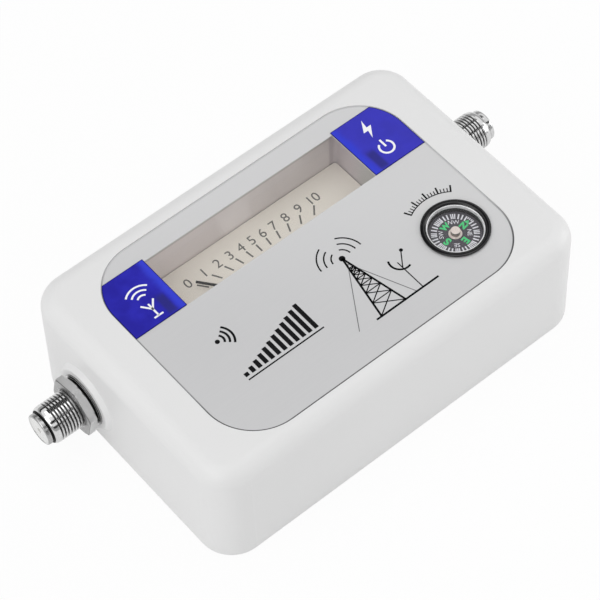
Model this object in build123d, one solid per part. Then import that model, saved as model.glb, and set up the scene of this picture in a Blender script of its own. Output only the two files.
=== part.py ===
from build123d import *
import math
import os

# A hand-held TV signal finder: a moulded box whose face holds a moving-coil signal meter and a small
# compass, with a threaded coaxial socket in each end wall.
# Millimetres. +X runs along the sockets toward the power socket, -Y is the near long side, +Z is up,
# and the origin is the middle of the underside.

# Shared
overrun = 1.0
fit_gap = 0.15
pin_gap = 0.05
quarter_turn = 90

# Case: a deep shell, its walls drafted inward toward the face
case_length = 103.7
case_width = 68.3
case_height = 30.7
case_corner_radius = 8.3
case_draft = 0.7
top_edge_radius = 4.4
foot_edge_radius = 0.8
wall = 2.2
roof = 2.6
rebate_width = 1.1
rim_rib_height = 2.2
rim_rib_thickness = 1.2
cover_thickness = 2.4
cover_edge_chamfer = 0.3
post_inset_x = 7.65
post_inset_y = 7.95
post_radius = 3.2
gusset_thickness = 1.2
gusset_drop = 9.0

# Screws that hold the cover
cover_screw_radius = 1.2
cover_screw_grip = 10.0
cover_head_radius = 2.6
cover_head_height = 1.2
cover_head_sink = 0.2
cover_head_dome = 0.5

# Face label, its window and the two end tabs
label_end_margin = 10.95
label_side_margin = 5.45
label_corner_radius = 12.5
label_y = -0.4
label_recess = 0.6
label_thickness = 0.35
label_gap = 0.2
window_x = -0.3
window_end_margin = 25.05
window_width = 15.2
window_far_margin = 11.15
tab_overlap = 0.7
tab_thickness = 0.12

# Meter case, hung under the face with its rim up in the face's opening
meter_x = -0.5
meter_end_overlap = 2.1
meter_far_overlap = 1.3
meter_near_overlap = 0.9
meter_wall = 1.0
meter_board_gap = 1.2
meter_rim_height = 0.6
movement_bay_width = 24.0
movement_bay_reach = 9.0
meter_corner_radius = 1.0
ear_inset = 0.2
ear_width = 6.0
ear_side_gap = 0.65
lug_length = 7.1
lug_inset = 4.2
lug_width = 6.0
lug_thickness = 1.6
lug_drop = 2.5
lug_boss_radius = 2.4
lug_screw_inset = 3.0
lug_screw_radius = 0.8
lug_head_radius = 1.9
lug_head_height = 1.4
lens_thickness = 1.4

# Scale plate
scale_lift = 1.5
scale_thickness = 0.5
scale_gap = 0.2
scale_tongue_width = 20.0
scale_tongue_setback = 5.0
scale_notch_radius = 7.5
scale_ledge_depth = 1.0
scale_ledge_height = 1.0
scale_post_inset = 8.9
scale_post_setback = 2.7
scale_post_radius = 2.2
scale_screw_radius = 0.6
scale_screw_grip = 4.0
scale_head_radius = 1.3
scale_head_height = 0.8

# Movement, about the pointer's upright axis
pivot_setback = 11.8
sweep_angle = 76.0
core_radius = 4.7
core_height = 4.8
yoke_inner_radius = 6.2
yoke_outer_radius = 8.5
yoke_height = 5.6
yoke_lift = 2.8
support_width = 2.4
support_height = 3.0
coil_core_gap = 0.4
coil_thickness = 0.6
coil_width = 3.0
coil_corner_radius = 0.5
bridge_thickness = 0.8
bridge_width = 4.4
bridge_end_radius = 2.0
column_radius = 1.1
column_spread = 14.7
upper_bridge_rise = 3.8
bridge_screw_radius = 0.5
bridge_head_radius = 1.0
bridge_head_height = 0.8
jewel_radius = 1.15
jewel_height = 1.1
jewel_pit_depth = 0.4
jewel_pit_radius = 0.45
pivot_radius = 0.3
pivot_tip_radius = 0.03
collet_radius = 0.6
collet_height = 0.8
spring_inner_radius = 0.8
spring_pitch = 0.8
spring_turns = 3
spring_thickness = 0.18
spring_height = 0.4
spring_coil_gap = 0.4
anchor_radius = 0.35

# Pointer
pointer_length = 27.7
pointer_root_width = 0.9
pointer_tip_width = 0.45
pointer_thickness = 0.4
pointer_rise = 1.0
pointer_hub_radius = 1.5
pointer_hub_height = 0.9
tail_length = 5.6
weight_radius = 1.1
weight_height = 0.9
stop_reach_share = 0.415
stop_radius = 0.4
stop_height = 2.2
stop_gap = 0.3

# Meter terminals
terminal_spread = 19.0
terminal_offset = 7.6
terminal_radius = 0.5
terminal_rise = 2.0

# Compass
compass_end_inset = 10.9
compass_side_inset = 14.4
bezel_radius = 7.8
bezel_height = 0.75
bezel_edge_radius = 0.3
bezel_foot_radius = 7.4
bezel_flare_height = 0.4
bezel_inner_radius = 6.5
bowl_radius = 7.0
bowl_wall = 0.9
bowl_depth = 5.6
bowl_floor = 0.8
lens_seat_drop = 0.7
compass_lens_thickness = 0.4
trim_ring_width = 0.27
trim_ring_height = 1.5
card_radius = 5.6
card_thickness = 0.3
card_drop = 1.3
cap_radius = 1.1
cap_height = 0.95
cap_flange_radius = 1.55
cap_flange_height = 0.3
cap_pit_height = 0.5
needle_length = 7.4
needle_width = 2.2
needle_thickness = 0.8
compass_pin_radius = 0.35
compass_pin_gap = 0.15

# Sockets in the end walls, described at the +X end
socket_inset = 20.55
socket_z = 12.0
pad_height = 1.0
pad_face_radius = 7.9
pad_foot_radius = 8.8
pad_edge_radius = 0.3
washer_radius = 6.55
washer_thickness = 0.35
nut_collar_radius = 5.9
nut_collar_height = 0.75
nut_flats = 12.7
nut_thickness = 2.1
nut_chamfer = 0.5
nut_turn = 14.0
nut_corner_count = 6
barrel_radius = 4.68
barrel_root_radius = 4.45
barrel_crest_gap = 0.2
barrel_length = 10.1
barrel_chamfer = 0.6
nose_radius = 3.85
nose_length = 2.2
nose_edge_radius = 0.45
socket_bore_radius = 3.3
flange_radius = 6.9
flange_thickness = 2.0
block_length = 8.0
block_width = 11.0
block_rise = 5.2
leg_radius = 0.5
leg_inset = 1.2
insulator_inset = 0.15
entry_radius = 0.6
contact_radius = 1.1
contact_bore_radius = 0.45
contact_front_inset = 1.2
contact_bore_depth = 6.0
tail_radius = 0.4
tail_reach = 0.8

# Circuit board and what it carries
board_end_margin = 4.85
board_side_margin = 12.15
board_thickness = 1.6
board_rise = 2.2
board_corner_radius = 1.5
lead_stub = 0.8
standoff_radius = 2.8
board_screw_inset = 3.5
board_screw_meter_gap = 4.1
board_screw_radius = 1.0
board_screw_grip = 3.0
board_head_radius = 2.2
board_head_height = 1.4
can_edge_gap = 10.0
can_bay_gap = 3.5
can_meter_gap = 3.4
can_width = 12.0
can_height = 6.0
can_wall = 0.4
can_corner_radius = 0.8
chip_length = 5.0
chip_width = 4.0
chip_height = 1.5
chip_leg_width = 0.4
chip_leg_pitch = 1.27
chip_leg_reach = 1.0
chip_leg_height = 0.3
chip_leg_pairs = 4
electrolytic_share = 0.18
electrolytic_share_step = 0.28
electrolytic_meter_gap = 3.75
electrolytic_radius = 3.15
electrolytic_height = 7.7
electrolytic_count = 2
electrolytic_edge_radius = 0.5
inductor_share = 0.13
inductor_share_step = 0.18
small_part_edge_inset = 3.6
inductor_radius = 2.0
inductor_waist_radius = 1.5
inductor_height = 4.6
inductor_flange = 0.8
inductor_count = 3
trimmer_share = 0.68
trimmer_side = 4.5
trimmer_height = 4.0
rotor_radius = 1.6
rotor_height = 0.5
rotor_slot_width = 0.6
regulator_share = 0.78
regulator_length = 6.6
regulator_width = 6.1
regulator_height = 2.3
part_length = 2.0
part_width = 1.25
part_height = 0.8
part_pitch = 3.4
part_count = 8
part_row_inset = 3.0

# Places worked out from the sizes above
draft_slope = math.tan(math.radians(case_draft))
face_floor = case_height - label_recess
label_top = face_floor + label_thickness
roof_under = case_height - roof
post_x = case_length / 2 - post_inset_x
post_y = case_width / 2 - post_inset_y
label_length = case_length - 2 * label_end_margin
label_width = case_width - 2 * label_side_margin
window_length = case_length - 2 * window_end_margin
window_far = case_width / 2 - window_far_margin
window_near = window_far - window_width
tab_far = window_far + tab_overlap
board_length = case_length - 2 * board_end_margin
board_width = case_width - 2 * board_side_margin
board_base = cover_thickness + board_rise
board_top = board_base + board_thickness
meter_inner_length = window_length + 2 * meter_end_overlap
meter_inner_far = window_far + meter_far_overlap
meter_inner_near = window_near - meter_near_overlap
meter_half = meter_inner_length / 2 + meter_wall
meter_far = meter_inner_far + meter_wall
meter_near = meter_inner_near - meter_wall
meter_floor = board_top + meter_board_gap
meter_floor_top = meter_floor + meter_wall
lens_under = roof_under + meter_rim_height
lens_top = lens_under + lens_thickness
ear_near = window_near + ear_inset
ear_far = ear_near + ear_width
lug_near = window_near + lug_inset
lug_far = lug_near + lug_width
lug_top = roof_under - lug_drop
lug_screw_x = meter_half + lug_length - lug_screw_inset
lug_screw_y = (lug_near + lug_far) / 2
pivot_y = window_near - pivot_setback
movement_bay_near = pivot_y - movement_bay_reach
bay_left = meter_x - movement_bay_width / 2 - meter_wall
bay_right = meter_x + movement_bay_width / 2 + meter_wall
terminal_y = pivot_y + terminal_offset
yoke_base = meter_floor_top + yoke_lift
yoke_top = yoke_base + yoke_height
scale_top = yoke_top + scale_lift
scale_under = scale_top - scale_thickness
scale_near = meter_inner_near + scale_gap
scale_tongue_near = pivot_y + scale_tongue_setback
scale_post_spread = meter_inner_length - 2 * scale_post_inset
scale_post_y = meter_inner_near + scale_post_setback
core_base = yoke_base + (yoke_height - core_height) / 2
coil_inner_half = core_radius + coil_core_gap
coil_outer_half = coil_inner_half + coil_thickness
coil_base = core_base - coil_core_gap - coil_thickness
coil_top = core_base + core_height + coil_core_gap + coil_thickness
upper_bridge_under = yoke_top + upper_bridge_rise
upper_bridge_top = upper_bridge_under + bridge_thickness
lower_bridge_top = meter_floor_top + bridge_thickness
lower_jewel_top = meter_floor_top + jewel_height
upper_jewel_under = upper_bridge_top - jewel_height
pointer_under = scale_top + pointer_rise
stop_reach = stop_reach_share * pointer_length
spring_reach = spring_inner_radius + spring_turns * spring_pitch
compass_x = label_length / 2 - compass_end_inset
compass_y = label_y - label_width / 2 + compass_side_inset
bezel_top = label_top + bezel_height
bowl_under = label_top - bowl_depth
bowl_inner_radius = bowl_radius - bowl_wall
lens_seat = bezel_top - lens_seat_drop
card_top = case_height - card_drop
card_under = card_top - card_thickness
socket_y = case_width / 2 - socket_inset
pad_face = case_length / 2 - socket_z * draft_slope + pad_height
nut_face = pad_face + washer_thickness + nut_collar_height + nut_thickness
barrel_end = pad_face + barrel_length
nose_end = barrel_end + nose_length
flange_face = case_length / 2 - wall - (socket_z + flange_radius) * draft_slope
flange_back = flange_face - flange_thickness
block_back = flange_back - block_length
board_screw_near_x = board_length / 2 - board_screw_inset
board_screw_far_x = meter_half - meter_x + board_screw_meter_gap
board_screw_y = board_width / 2 - board_screw_inset
can_left = can_edge_gap - board_length / 2
can_right = bay_left - can_bay_gap
can_far = meter_near - can_meter_gap
can_length = can_right - can_left
can_x = (can_left + can_right) / 2
can_y = can_far - can_width / 2
supply_row_y = meter_near - electrolytic_meter_gap - electrolytic_radius
coil_row_y = small_part_edge_inset - board_width / 2
part_row_x = meter_x - (part_count - 1) * part_pitch / 2
part_row_y = part_row_inset - board_width / 2


def block(left, right, near, far, low, high):
    """A box between six planes."""
    place = Pos((left + right) / 2, (near + far) / 2, (low + high) / 2)
    return place * Box(right - left, far - near, high - low)


def disc(radius, low, high, x=0, y=0):
    """An upright cylinder between two heights."""
    return Pos(x, y, (low + high) / 2) * Cylinder(radius, high - low)


def plate(length, width, radius, low, high, x=0, y=0, draft=0):
    """An upright round-cornered plate, drafted inward as it rises."""
    outline = Pos(x, y, low) * RectangleRounded(length, width, radius)
    return extrude(outline, high - low, taper=draft)


def rod(radius, start, end):
    """A cylinder along X on the socket's axis."""
    place = Pos((start + end) / 2, socket_y, socket_z) * Rot(Y=quarter_turn)
    return place * Cylinder(radius, end - start)


def corners(x, y):
    """The four places that mirror one place in both planes."""
    return [(x * side, y * end) for side in (-1, 1) for end in (-1, 1)]


def at_pivot(shape):
    """Moves a shape made about Z onto the pointer's axis."""
    return Pos(meter_x, pivot_y) * shape


def at_rest(shape):
    """Turns a shape made with the pointer at mid-scale to the pointer's rest on zero."""
    return at_pivot(Rot(Z=sweep_angle / 2) * shape)


def drafted_case(inset, high, edge_radius):
    """The case's outline set in by a wall, rising with the draft to a rounded top edge."""
    radius = case_corner_radius - inset
    body = plate(case_length - 2 * inset, case_width - 2 * inset, radius, 0, high, draft=case_draft)
    return fillet(body.edges().group_by(Axis.Z)[-1], edge_radius)


def gussets():
    """Webs that tie each screw post to the walls beside it."""
    low = roof_under - gusset_drop
    reach_x = case_length / 2 - wall / 2 - low * draft_slope
    reach_y = case_width / 2 - wall / 2 - low * draft_slope
    along = block(post_x, reach_x, post_y - gusset_thickness / 2, post_y + gusset_thickness / 2, low, roof_under)
    across = block(post_x - gusset_thickness / 2, post_x + gusset_thickness / 2, post_y, reach_y, low, roof_under)
    corner = along + across
    corner += mirror(corner, Plane.XZ)
    return corner + mirror(corner, Plane.YZ)


def socket_pad():
    """The raised round pad that a socket's washer bears on."""
    spread = pad_foot_radius - pad_face_radius
    depth = pad_height + wall / 2
    foot = pad_face_radius + spread * depth / pad_height
    pad = Pos(pad_face - depth / 2, socket_y, socket_z) * Rot(Y=quarter_turn) * Cone(foot, pad_face_radius, depth)
    return fillet(pad.edges().sort_by(Axis.X)[-1], pad_edge_radius)


def meter_opening():
    """The opening in the face that the meter's rim, cover and two ears stand in."""
    low = roof_under - overrun
    high = case_height + overrun
    reach = meter_half + fit_gap
    notch = meter_half + ear_side_gap
    main = block(meter_x - reach, meter_x + reach, meter_near - fit_gap, meter_far + fit_gap, low, high)
    ears = block(meter_x - notch, meter_x + notch, ear_near - fit_gap, ear_far + fit_gap, low, high)
    return main + ears


def make_top_shell():
    """Deep shell: rounded top edge, label recess, socket pads, posts for the cover's screws."""
    shell = drafted_case(0, case_height, top_edge_radius)
    shell = fillet(shell.edges().group_by(Axis.Z)[0], foot_edge_radius)
    shell -= drafted_case(wall, roof_under, top_edge_radius - wall)
    rim = wall - rebate_width
    shell -= plate(case_length - 2 * rim, case_width - 2 * rim, case_corner_radius - rim, -overrun, cover_thickness)
    shell += gussets()
    for x, y in corners(post_x, post_y):
        shell += disc(post_radius, cover_thickness, roof_under, x, y)
    for side in (-1, 1):
        shell += disc(lug_boss_radius, lug_top, roof_under, meter_x + side * lug_screw_x, lug_screw_y)
    pad = socket_pad()
    shell += [pad, mirror(pad, Plane.YZ)]
    gap = 2 * label_gap
    shell -= plate(label_length + gap, label_width + gap, label_corner_radius + label_gap,
                   face_floor, case_height + overrun, y=label_y)
    shell -= meter_opening()
    shell -= disc(bowl_radius + fit_gap, roof_under - overrun, case_height, compass_x, compass_y)
    hole = rod(barrel_radius + fit_gap, flange_face - wall, pad_face + overrun)
    shell -= [hole, mirror(hole, Plane.YZ)]
    for x, y in corners(post_x, post_y):
        pilot_top = cover_thickness + cover_screw_grip + overrun
        shell -= disc(cover_screw_radius + pin_gap, cover_thickness - overrun, pilot_top, x, y)
    for side in (-1, 1):
        pilot_top = (roof_under + face_floor) / 2
        shell -= disc(lug_screw_radius + pin_gap, lug_top - overrun, pilot_top,
                      meter_x + side * lug_screw_x, lug_screw_y)
    return shell


def board_screw_places():
    """Where the circuit board is screwed down."""
    near = [(side * board_screw_near_x, -board_screw_y) for side in (-1, 1)]
    far = [(side * board_screw_far_x, board_screw_y) for side in (-1, 1)]
    return near + far


def make_bottom_cover():
    """Flat cover let into the foot of the shell, with a locating rib and the board's standoffs."""
    inset = wall - rebate_width + fit_gap
    radius = case_corner_radius - inset
    cover = plate(case_length - 2 * inset, case_width - 2 * inset, radius, 0, cover_thickness)
    cover = chamfer(cover.edges().group_by(Axis.Z)[0], cover_edge_chamfer)
    outer = wall + fit_gap
    inner = outer + rim_rib_thickness
    rib_top = cover_thickness + rim_rib_height
    rib = plate(case_length - 2 * outer, case_width - 2 * outer, case_corner_radius - outer,
                cover_thickness, rib_top, draft=case_draft)
    rib -= plate(case_length - 2 * inner, case_width - 2 * inner, case_corner_radius - inner,
                 cover_thickness, rib_top + overrun, draft=case_draft)
    cover += rib
    for x, y in board_screw_places():
        cover += disc(standoff_radius, cover_thickness, board_base, x, y)
        cover -= disc(board_screw_radius + pin_gap, board_top - board_thickness - board_screw_grip, board_top, x, y)
    for x, y in corners(post_x, post_y):
        head_top = cover_head_sink + cover_head_height
        cover -= disc(cover_head_radius + fit_gap, -overrun, head_top, x, y)
        cover -= disc(cover_screw_radius + fit_gap, 0, cover_thickness + overrun, x, y)
    return cover


def make_cover_screws():
    """Four domed self-tapping screws, heads sunk in the cover."""
    screws = []
    for x, y in corners(post_x, post_y):
        head_top = cover_head_sink + cover_head_height
        head = disc(cover_head_radius, cover_head_sink, head_top, x, y)
        head = fillet(head.edges().sort_by(Axis.Z)[0], cover_head_dome)
        screws.append(head + disc(cover_screw_radius, head_top, cover_thickness + cover_screw_grip, x, y))
    return screws


def label_outline(low, high):
    """The label's round-cornered shape between two heights."""
    return plate(label_length, label_width, label_corner_radius, low, high, y=label_y)


def make_face_label():
    """Printed film with the window and the compass's hole cut out."""
    label = label_outline(face_floor, label_top)
    low = face_floor - overrun
    high = label_top + overrun
    left = window_x - window_length / 2
    label -= block(left, left + window_length, window_near, window_far, low, high)
    return label - disc(bowl_radius + fit_gap, low, high, compass_x, compass_y)


def make_tab(side):
    """Tinted film over one end of the label, from the window to the label's own rounded edge."""
    inner = window_x + side * window_length / 2
    outer = side * (label_length / 2 + overrun)
    low = label_top
    high = label_top + tab_thickness
    patch = block(min(inner, outer), max(inner, outer), window_near, tab_far, low, high)
    return patch & label_outline(low, high)


def meter_plan(grow, low, high):
    """The meter case's T-shaped plan: the scale's chamber and the movement's bay, grown by a wall."""
    head = block(meter_x - meter_inner_length / 2 - grow, meter_x + meter_inner_length / 2 + grow,
                 meter_inner_near - grow, meter_inner_far + grow, low, high)
    bay = block(meter_x - movement_bay_width / 2 - grow, meter_x + movement_bay_width / 2 + grow,
                movement_bay_near - grow, meter_inner_near + meter_wall, low, high)
    shape = head + bay
    return fillet(shape.edges().filter_by(Axis.Z), meter_corner_radius)


def terminal_places():
    """Where the movement's two pins pass through the meter's floor and the board."""
    return [(meter_x + side * terminal_spread / 2, terminal_y) for side in (-1, 1)]


def scale_post_places():
    """The two posts that the scale plate is screwed to."""
    return [(meter_x + side * scale_post_spread / 2, scale_post_y) for side in (-1, 1)]


def make_meter_case():
    """Open tray under the face: walls, ears that clip over the cover, lugs, scale posts and ledge."""
    case = meter_plan(meter_wall, meter_floor, roof_under)
    rim_left = meter_x - meter_half
    rim_right = meter_x + meter_half
    case += block(rim_left, rim_right, meter_near, meter_far, roof_under - meter_wall, lens_under)
    for side in (-1, 1):
        inner = meter_x + side * meter_inner_length / 2
        outer = meter_x + side * meter_half
        tip = meter_x + side * (meter_half + lug_length)
        ear = block(min(inner, outer), max(inner, outer), ear_near, ear_far, lug_top, lens_top)
        lug = block(min(outer, tip), max(outer, tip), lug_near, lug_far, lug_top - lug_thickness, lug_top)
        outward = Axis((0, 0, 0), (side, 0, 0))
        tip_corners = lug.edges().filter_by(Axis.Z).group_by(outward)[-1]
        lug = fillet(tip_corners, lug_screw_inset / 2)
        case += [ear, lug]
    case -= meter_plan(0, meter_floor_top, lens_under + overrun)
    for x, y in scale_post_places():
        case += disc(scale_post_radius, meter_floor_top, scale_under, x, y)
        case -= disc(scale_screw_radius + pin_gap, scale_under - scale_screw_grip, scale_under, x, y)
    ledge_half = meter_inner_length / 2
    case += block(meter_x - ledge_half, meter_x + ledge_half, meter_inner_far - scale_ledge_depth,
                  meter_inner_far, scale_under - scale_ledge_height, scale_under)
    for side in (-1, 1):
        case -= disc(lug_screw_radius + fit_gap, lug_top - lug_thickness - overrun, lug_top + overrun,
                     meter_x + side * lug_screw_x, lug_screw_y)
    for x, y in terminal_places():
        case -= disc(terminal_radius + pin_gap, meter_floor - overrun, meter_floor_top + overrun, x, y)
    return case


def make_meter_screws():
    """Two screws up through the meter case's lugs into the face's bosses."""
    screws = []
    seat = lug_top - lug_thickness
    for side in (-1, 1):
        x = meter_x + side * lug_screw_x
        tip = (roof_under + face_floor) / 2 - fit_gap
        head = disc(lug_head_radius, seat - lug_head_height, seat, x, lug_screw_y)
        screws.append(head + disc(lug_screw_radius, seat, tip, x, lug_screw_y))
    return screws


def make_meter_cover():
    """Clear pane on the case's rim, notched at its ends for the two ears."""
    reach = meter_half - fit_gap
    pane = block(meter_x - reach, meter_x + reach, meter_near + fit_gap, meter_far - fit_gap, lens_under, lens_top)
    for side in (-1, 1):
        inner = meter_x + side * (meter_inner_length / 2 - fit_gap)
        outer = meter_x + side * (meter_half + overrun)
        pane -= block(min(inner, outer), max(inner, outer), ear_near - fit_gap, ear_far + fit_gap,
                      lens_under - overrun, lens_top + overrun)
    return pane


def make_scale_plate():
    """Printed plate with a tongue that reaches to the movement and is notched round it."""
    half = meter_inner_length / 2 - scale_gap
    scale = block(meter_x - half, meter_x + half, scale_near, meter_inner_far - scale_gap, scale_under, scale_top)
    tongue_half = scale_tongue_width / 2
    scale += block(meter_x - tongue_half, meter_x + tongue_half, scale_tongue_near, scale_near + overrun,
                   scale_under, scale_top)
    scale = fillet(scale.edges().filter_by(Axis.Z), meter_corner_radius - scale_gap)
    scale -= disc(scale_notch_radius, scale_under - overrun, scale_top + overrun, meter_x, pivot_y)
    for x, y in scale_post_places():
        scale -= disc(scale_screw_radius + fit_gap, scale_under - overrun, scale_top + overrun, x, y)
    return scale


def make_scale_screws():
    """Two screws that hold the scale plate to its posts, under the label's near edge."""
    screws = []
    for x, y in scale_post_places():
        head = disc(scale_head_radius, scale_top, scale_top + scale_head_height, x, y)
        tip = scale_under - scale_screw_grip + fit_gap
        screws.append(head + disc(scale_screw_radius, tip, scale_top, x, y))
    return screws


def column_places():
    """The two bridge screws stand either side of the pivot, clear of the pointer's sweep."""
    return [(side * column_spread / 2, 0) for side in (-1, 1)]


def bridge(strip_low, column_low, column_high, anchor_low, anchor_high):
    """A strip over the yoke with a column at each end and the hairspring's anchor pin."""
    length = column_spread + 2 * bridge_end_radius
    strip_high = strip_low + bridge_thickness
    shape = plate(length, bridge_width, bridge_end_radius, strip_low, strip_high)
    for x, y in column_places():
        shape += disc(column_radius, column_low, column_high, x, y)
    shape += disc(anchor_radius, anchor_low, anchor_high, spring_reach + anchor_radius)
    shape -= disc(jewel_radius, strip_low - overrun, strip_high + overrun)
    for x, y in column_places():
        shape -= disc(bridge_screw_radius + pin_gap, min(strip_low, column_low) - overrun,
                      max(strip_high, column_high) + overrun, x, y)
    return at_pivot(shape)


def make_lower_bridge():
    """Brass bridge on the meter's floor that carries the yoke and the lower jewel."""
    anchor_top = coil_base - spring_coil_gap
    return bridge(meter_floor_top, lower_bridge_top, yoke_base, lower_bridge_top, anchor_top)


def make_upper_bridge():
    """Brass bridge over the coil that carries the upper jewel."""
    anchor_low = coil_top + spring_coil_gap
    return bridge(upper_bridge_under, yoke_top, upper_bridge_under, anchor_low, upper_bridge_under)


def make_bridge_screws():
    """Two long screws through both bridges and the yoke."""
    screws = []
    for x, y in column_places():
        head = disc(bridge_head_radius, upper_bridge_top, upper_bridge_top + bridge_head_height, x, y)
        screws.append(at_pivot(head + disc(bridge_screw_radius, meter_floor_top, upper_bridge_top, x, y)))
    return screws


def make_yoke_ring():
    """Soft-iron ring that closes the magnet's field round the coil."""
    ring = disc(yoke_outer_radius, yoke_base, yoke_top) - disc(yoke_inner_radius, yoke_base, yoke_top)
    for x, y in column_places():
        ring -= disc(bridge_screw_radius + pin_gap, yoke_base - overrun, yoke_top + overrun, x, y)
    return at_pivot(ring)


def make_core_magnet():
    """Round magnet in the middle of the coil."""
    return at_pivot(disc(core_radius, core_base, core_base + core_height))


def make_core_supports():
    """Two blocks that hold the magnet in the ring, before and behind the pivot, clear of the coil."""
    low = core_base + (core_height - support_height) / 2
    bar = block(-support_width / 2, support_width / 2, -yoke_outer_radius, yoke_outer_radius,
                low, low + support_height)
    band = disc(yoke_inner_radius, low, low + support_height) - disc(core_radius, low, low + support_height)
    return at_pivot(bar & band).solids()


def jewel(low, pit_up):
    """A round bearing with a conical pit for the pivot's point."""
    body = disc(jewel_radius, low, low + jewel_height)
    if pit_up:
        pit = Pos(0, 0, low + jewel_height - jewel_pit_depth / 2) * Cone(0, jewel_pit_radius, jewel_pit_depth)
    else:
        pit = Pos(0, 0, low + jewel_pit_depth / 2) * Cone(jewel_pit_radius, 0, jewel_pit_depth)
    return at_pivot(body - pit)


def make_jewel_bearings():
    """The lower jewel faces up and the upper one down."""
    return [jewel(meter_floor_top, True), jewel(upper_jewel_under, False)]


def make_moving_coil():
    """Rectangular winding that turns in the gap between magnet and ring."""
    height = coil_top - coil_base
    outline = RectangleRounded(2 * coil_outer_half, height, coil_corner_radius)
    window = Rectangle(2 * coil_inner_half, height - 2 * coil_thickness)
    place = Pos(0, coil_width / 2, coil_base + height / 2) * Rot(X=quarter_turn)
    return at_rest(place * extrude(outline - window, coil_width))


def pivot_staff(base, tip, point_up):
    """A thin staff with a collet for its hairspring and a pointed end in the jewel."""
    point = jewel_pit_depth
    if point_up:
        staff = disc(pivot_radius, base, tip - point)
        cone = Pos(0, 0, tip - point / 2) * Cone(pivot_radius, pivot_tip_radius, point)
        collet = disc(collet_radius, base, base + collet_height)
    else:
        staff = disc(pivot_radius, tip + point, base)
        cone = Pos(0, 0, tip + point / 2) * Cone(pivot_tip_radius, pivot_radius, point)
        collet = disc(collet_radius, base - collet_height, base)
    return at_rest(staff + cone + collet)


def make_coil_pivots():
    """The coil's two staffs, their points in the jewels' pits."""
    upper = pivot_staff(coil_top, upper_jewel_under + jewel_pit_depth - pin_gap, True)
    lower = pivot_staff(coil_base, lower_jewel_top - jewel_pit_depth + pin_gap, False)
    return [upper, lower]


def hairspring(low):
    """A flat spiral ribbon of half rings, alternately centred on the axis and half a pitch beside it."""
    high = low + spring_height
    ribbon = None
    for step in range(2 * spring_turns):
        radius = spring_inner_radius + step * spring_pitch / 2
        shift = (step % 2) * spring_pitch / 2
        ring = disc(radius + spring_thickness / 2, low, high) - disc(radius - spring_thickness / 2, low, high)
        side = -1 if step % 2 else 1
        reach = side * (radius + overrun)
        half = block(-radius - overrun, radius + overrun, min(0, reach), max(0, reach), low, high)
        piece = Pos(shift, 0, 0) * (ring & half)
        ribbon = piece if ribbon is None else ribbon + piece
    return at_pivot(ribbon)


def make_hairsprings():
    """One spring above the coil and one below, which also lead the current in and out."""
    lower = hairspring(coil_base - spring_coil_gap - spring_height)
    return [lower, hairspring(coil_top + spring_coil_gap)]


def make_pointer():
    """Tapered needle on its hub, with a tail and a balance weight."""
    high = pointer_under + pointer_thickness
    root = pointer_root_width / 2
    tip = pointer_tip_width / 2
    needle = extrude(Pos(0, 0, pointer_under) * make_face(Polyline(
        (-root, -tail_length), (root, -tail_length), (root, 0), (tip, pointer_length), (-tip, pointer_length),
        (-root, 0), close=True)), pointer_thickness)
    hub_low = high - pointer_hub_height
    needle += disc(pointer_hub_radius, hub_low, high)
    needle += disc(weight_radius, high - weight_height, high, 0, -tail_length)
    needle -= disc(pivot_radius, hub_low - overrun, high + overrun)
    return at_rest(needle)


def make_pointer_stops():
    """Two pins on the scale plate, just past the needle at each end of its sweep."""
    half_width = (pointer_root_width + (pointer_tip_width - pointer_root_width) * stop_reach_share) / 2
    beyond = math.degrees(math.atan((half_width + stop_gap + stop_radius) / stop_reach))
    stops = []
    for side in (-1, 1):
        turn = Rot(Z=side * (sweep_angle / 2 + beyond))
        stops.append(at_pivot(turn * disc(stop_radius, scale_top, scale_top + stop_height, 0, stop_reach)))
    return stops


def make_meter_terminals():
    """Two pins from the movement's bay down through the board."""
    low = board_base - lead_stub
    high = meter_floor_top + terminal_rise
    return [disc(terminal_radius, low, high, x, y) for x, y in terminal_places()]


def at_compass(shape):
    """Moves a shape made about Z onto the compass's axis."""
    return Pos(compass_x, compass_y) * shape


def make_compass_housing():
    """Black bowl through the face, its bezel flared from a narrower foot on the label."""
    flare_top = label_top + bezel_flare_height
    bezel = disc(bezel_radius, flare_top, bezel_top)
    bezel = fillet(bezel.edges().sort_by(Axis.Z)[-1], bezel_edge_radius)
    flare = Cone(bezel_foot_radius, bezel_radius, bezel_flare_height)
    bezel += Pos(0, 0, label_top + bezel_flare_height / 2) * flare
    housing = bezel + disc(bowl_radius, bowl_under, label_top)
    housing -= disc(bowl_inner_radius, bowl_under + bowl_floor, bezel_top)
    housing -= disc(bezel_inner_radius, lens_seat - trim_ring_height, bezel_top + overrun)
    return at_compass(housing)


def make_compass_lens():
    """Clear disc pressed into the bezel on top of the bright ring."""
    return at_compass(disc(bezel_inner_radius - pin_gap, lens_seat, lens_seat + compass_lens_thickness))


def make_compass_ring():
    """Bright sleeve that stands on the bowl's step, round the card, and carries the lens."""
    low = lens_seat - trim_ring_height
    outer = bezel_inner_radius - pin_gap
    return at_compass(disc(outer, low, lens_seat) - disc(outer - trim_ring_width, low, lens_seat))


def make_compass_pin():
    """Upright steel point that the card balances on."""
    base = bowl_under + bowl_floor
    tip = card_top + cap_pit_height - compass_pin_gap
    point = cap_pit_height
    pin = disc(compass_pin_radius, base, tip - point)
    pin += Pos(0, 0, tip - point / 2) * Cone(compass_pin_radius, pin_gap, point)
    return at_compass(pin)


def make_compass_card():
    """Thin printed disc with a hole for the bearing cap."""
    return at_compass(disc(card_radius, card_under, card_top) - disc(cap_radius, card_under, card_top))


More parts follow.
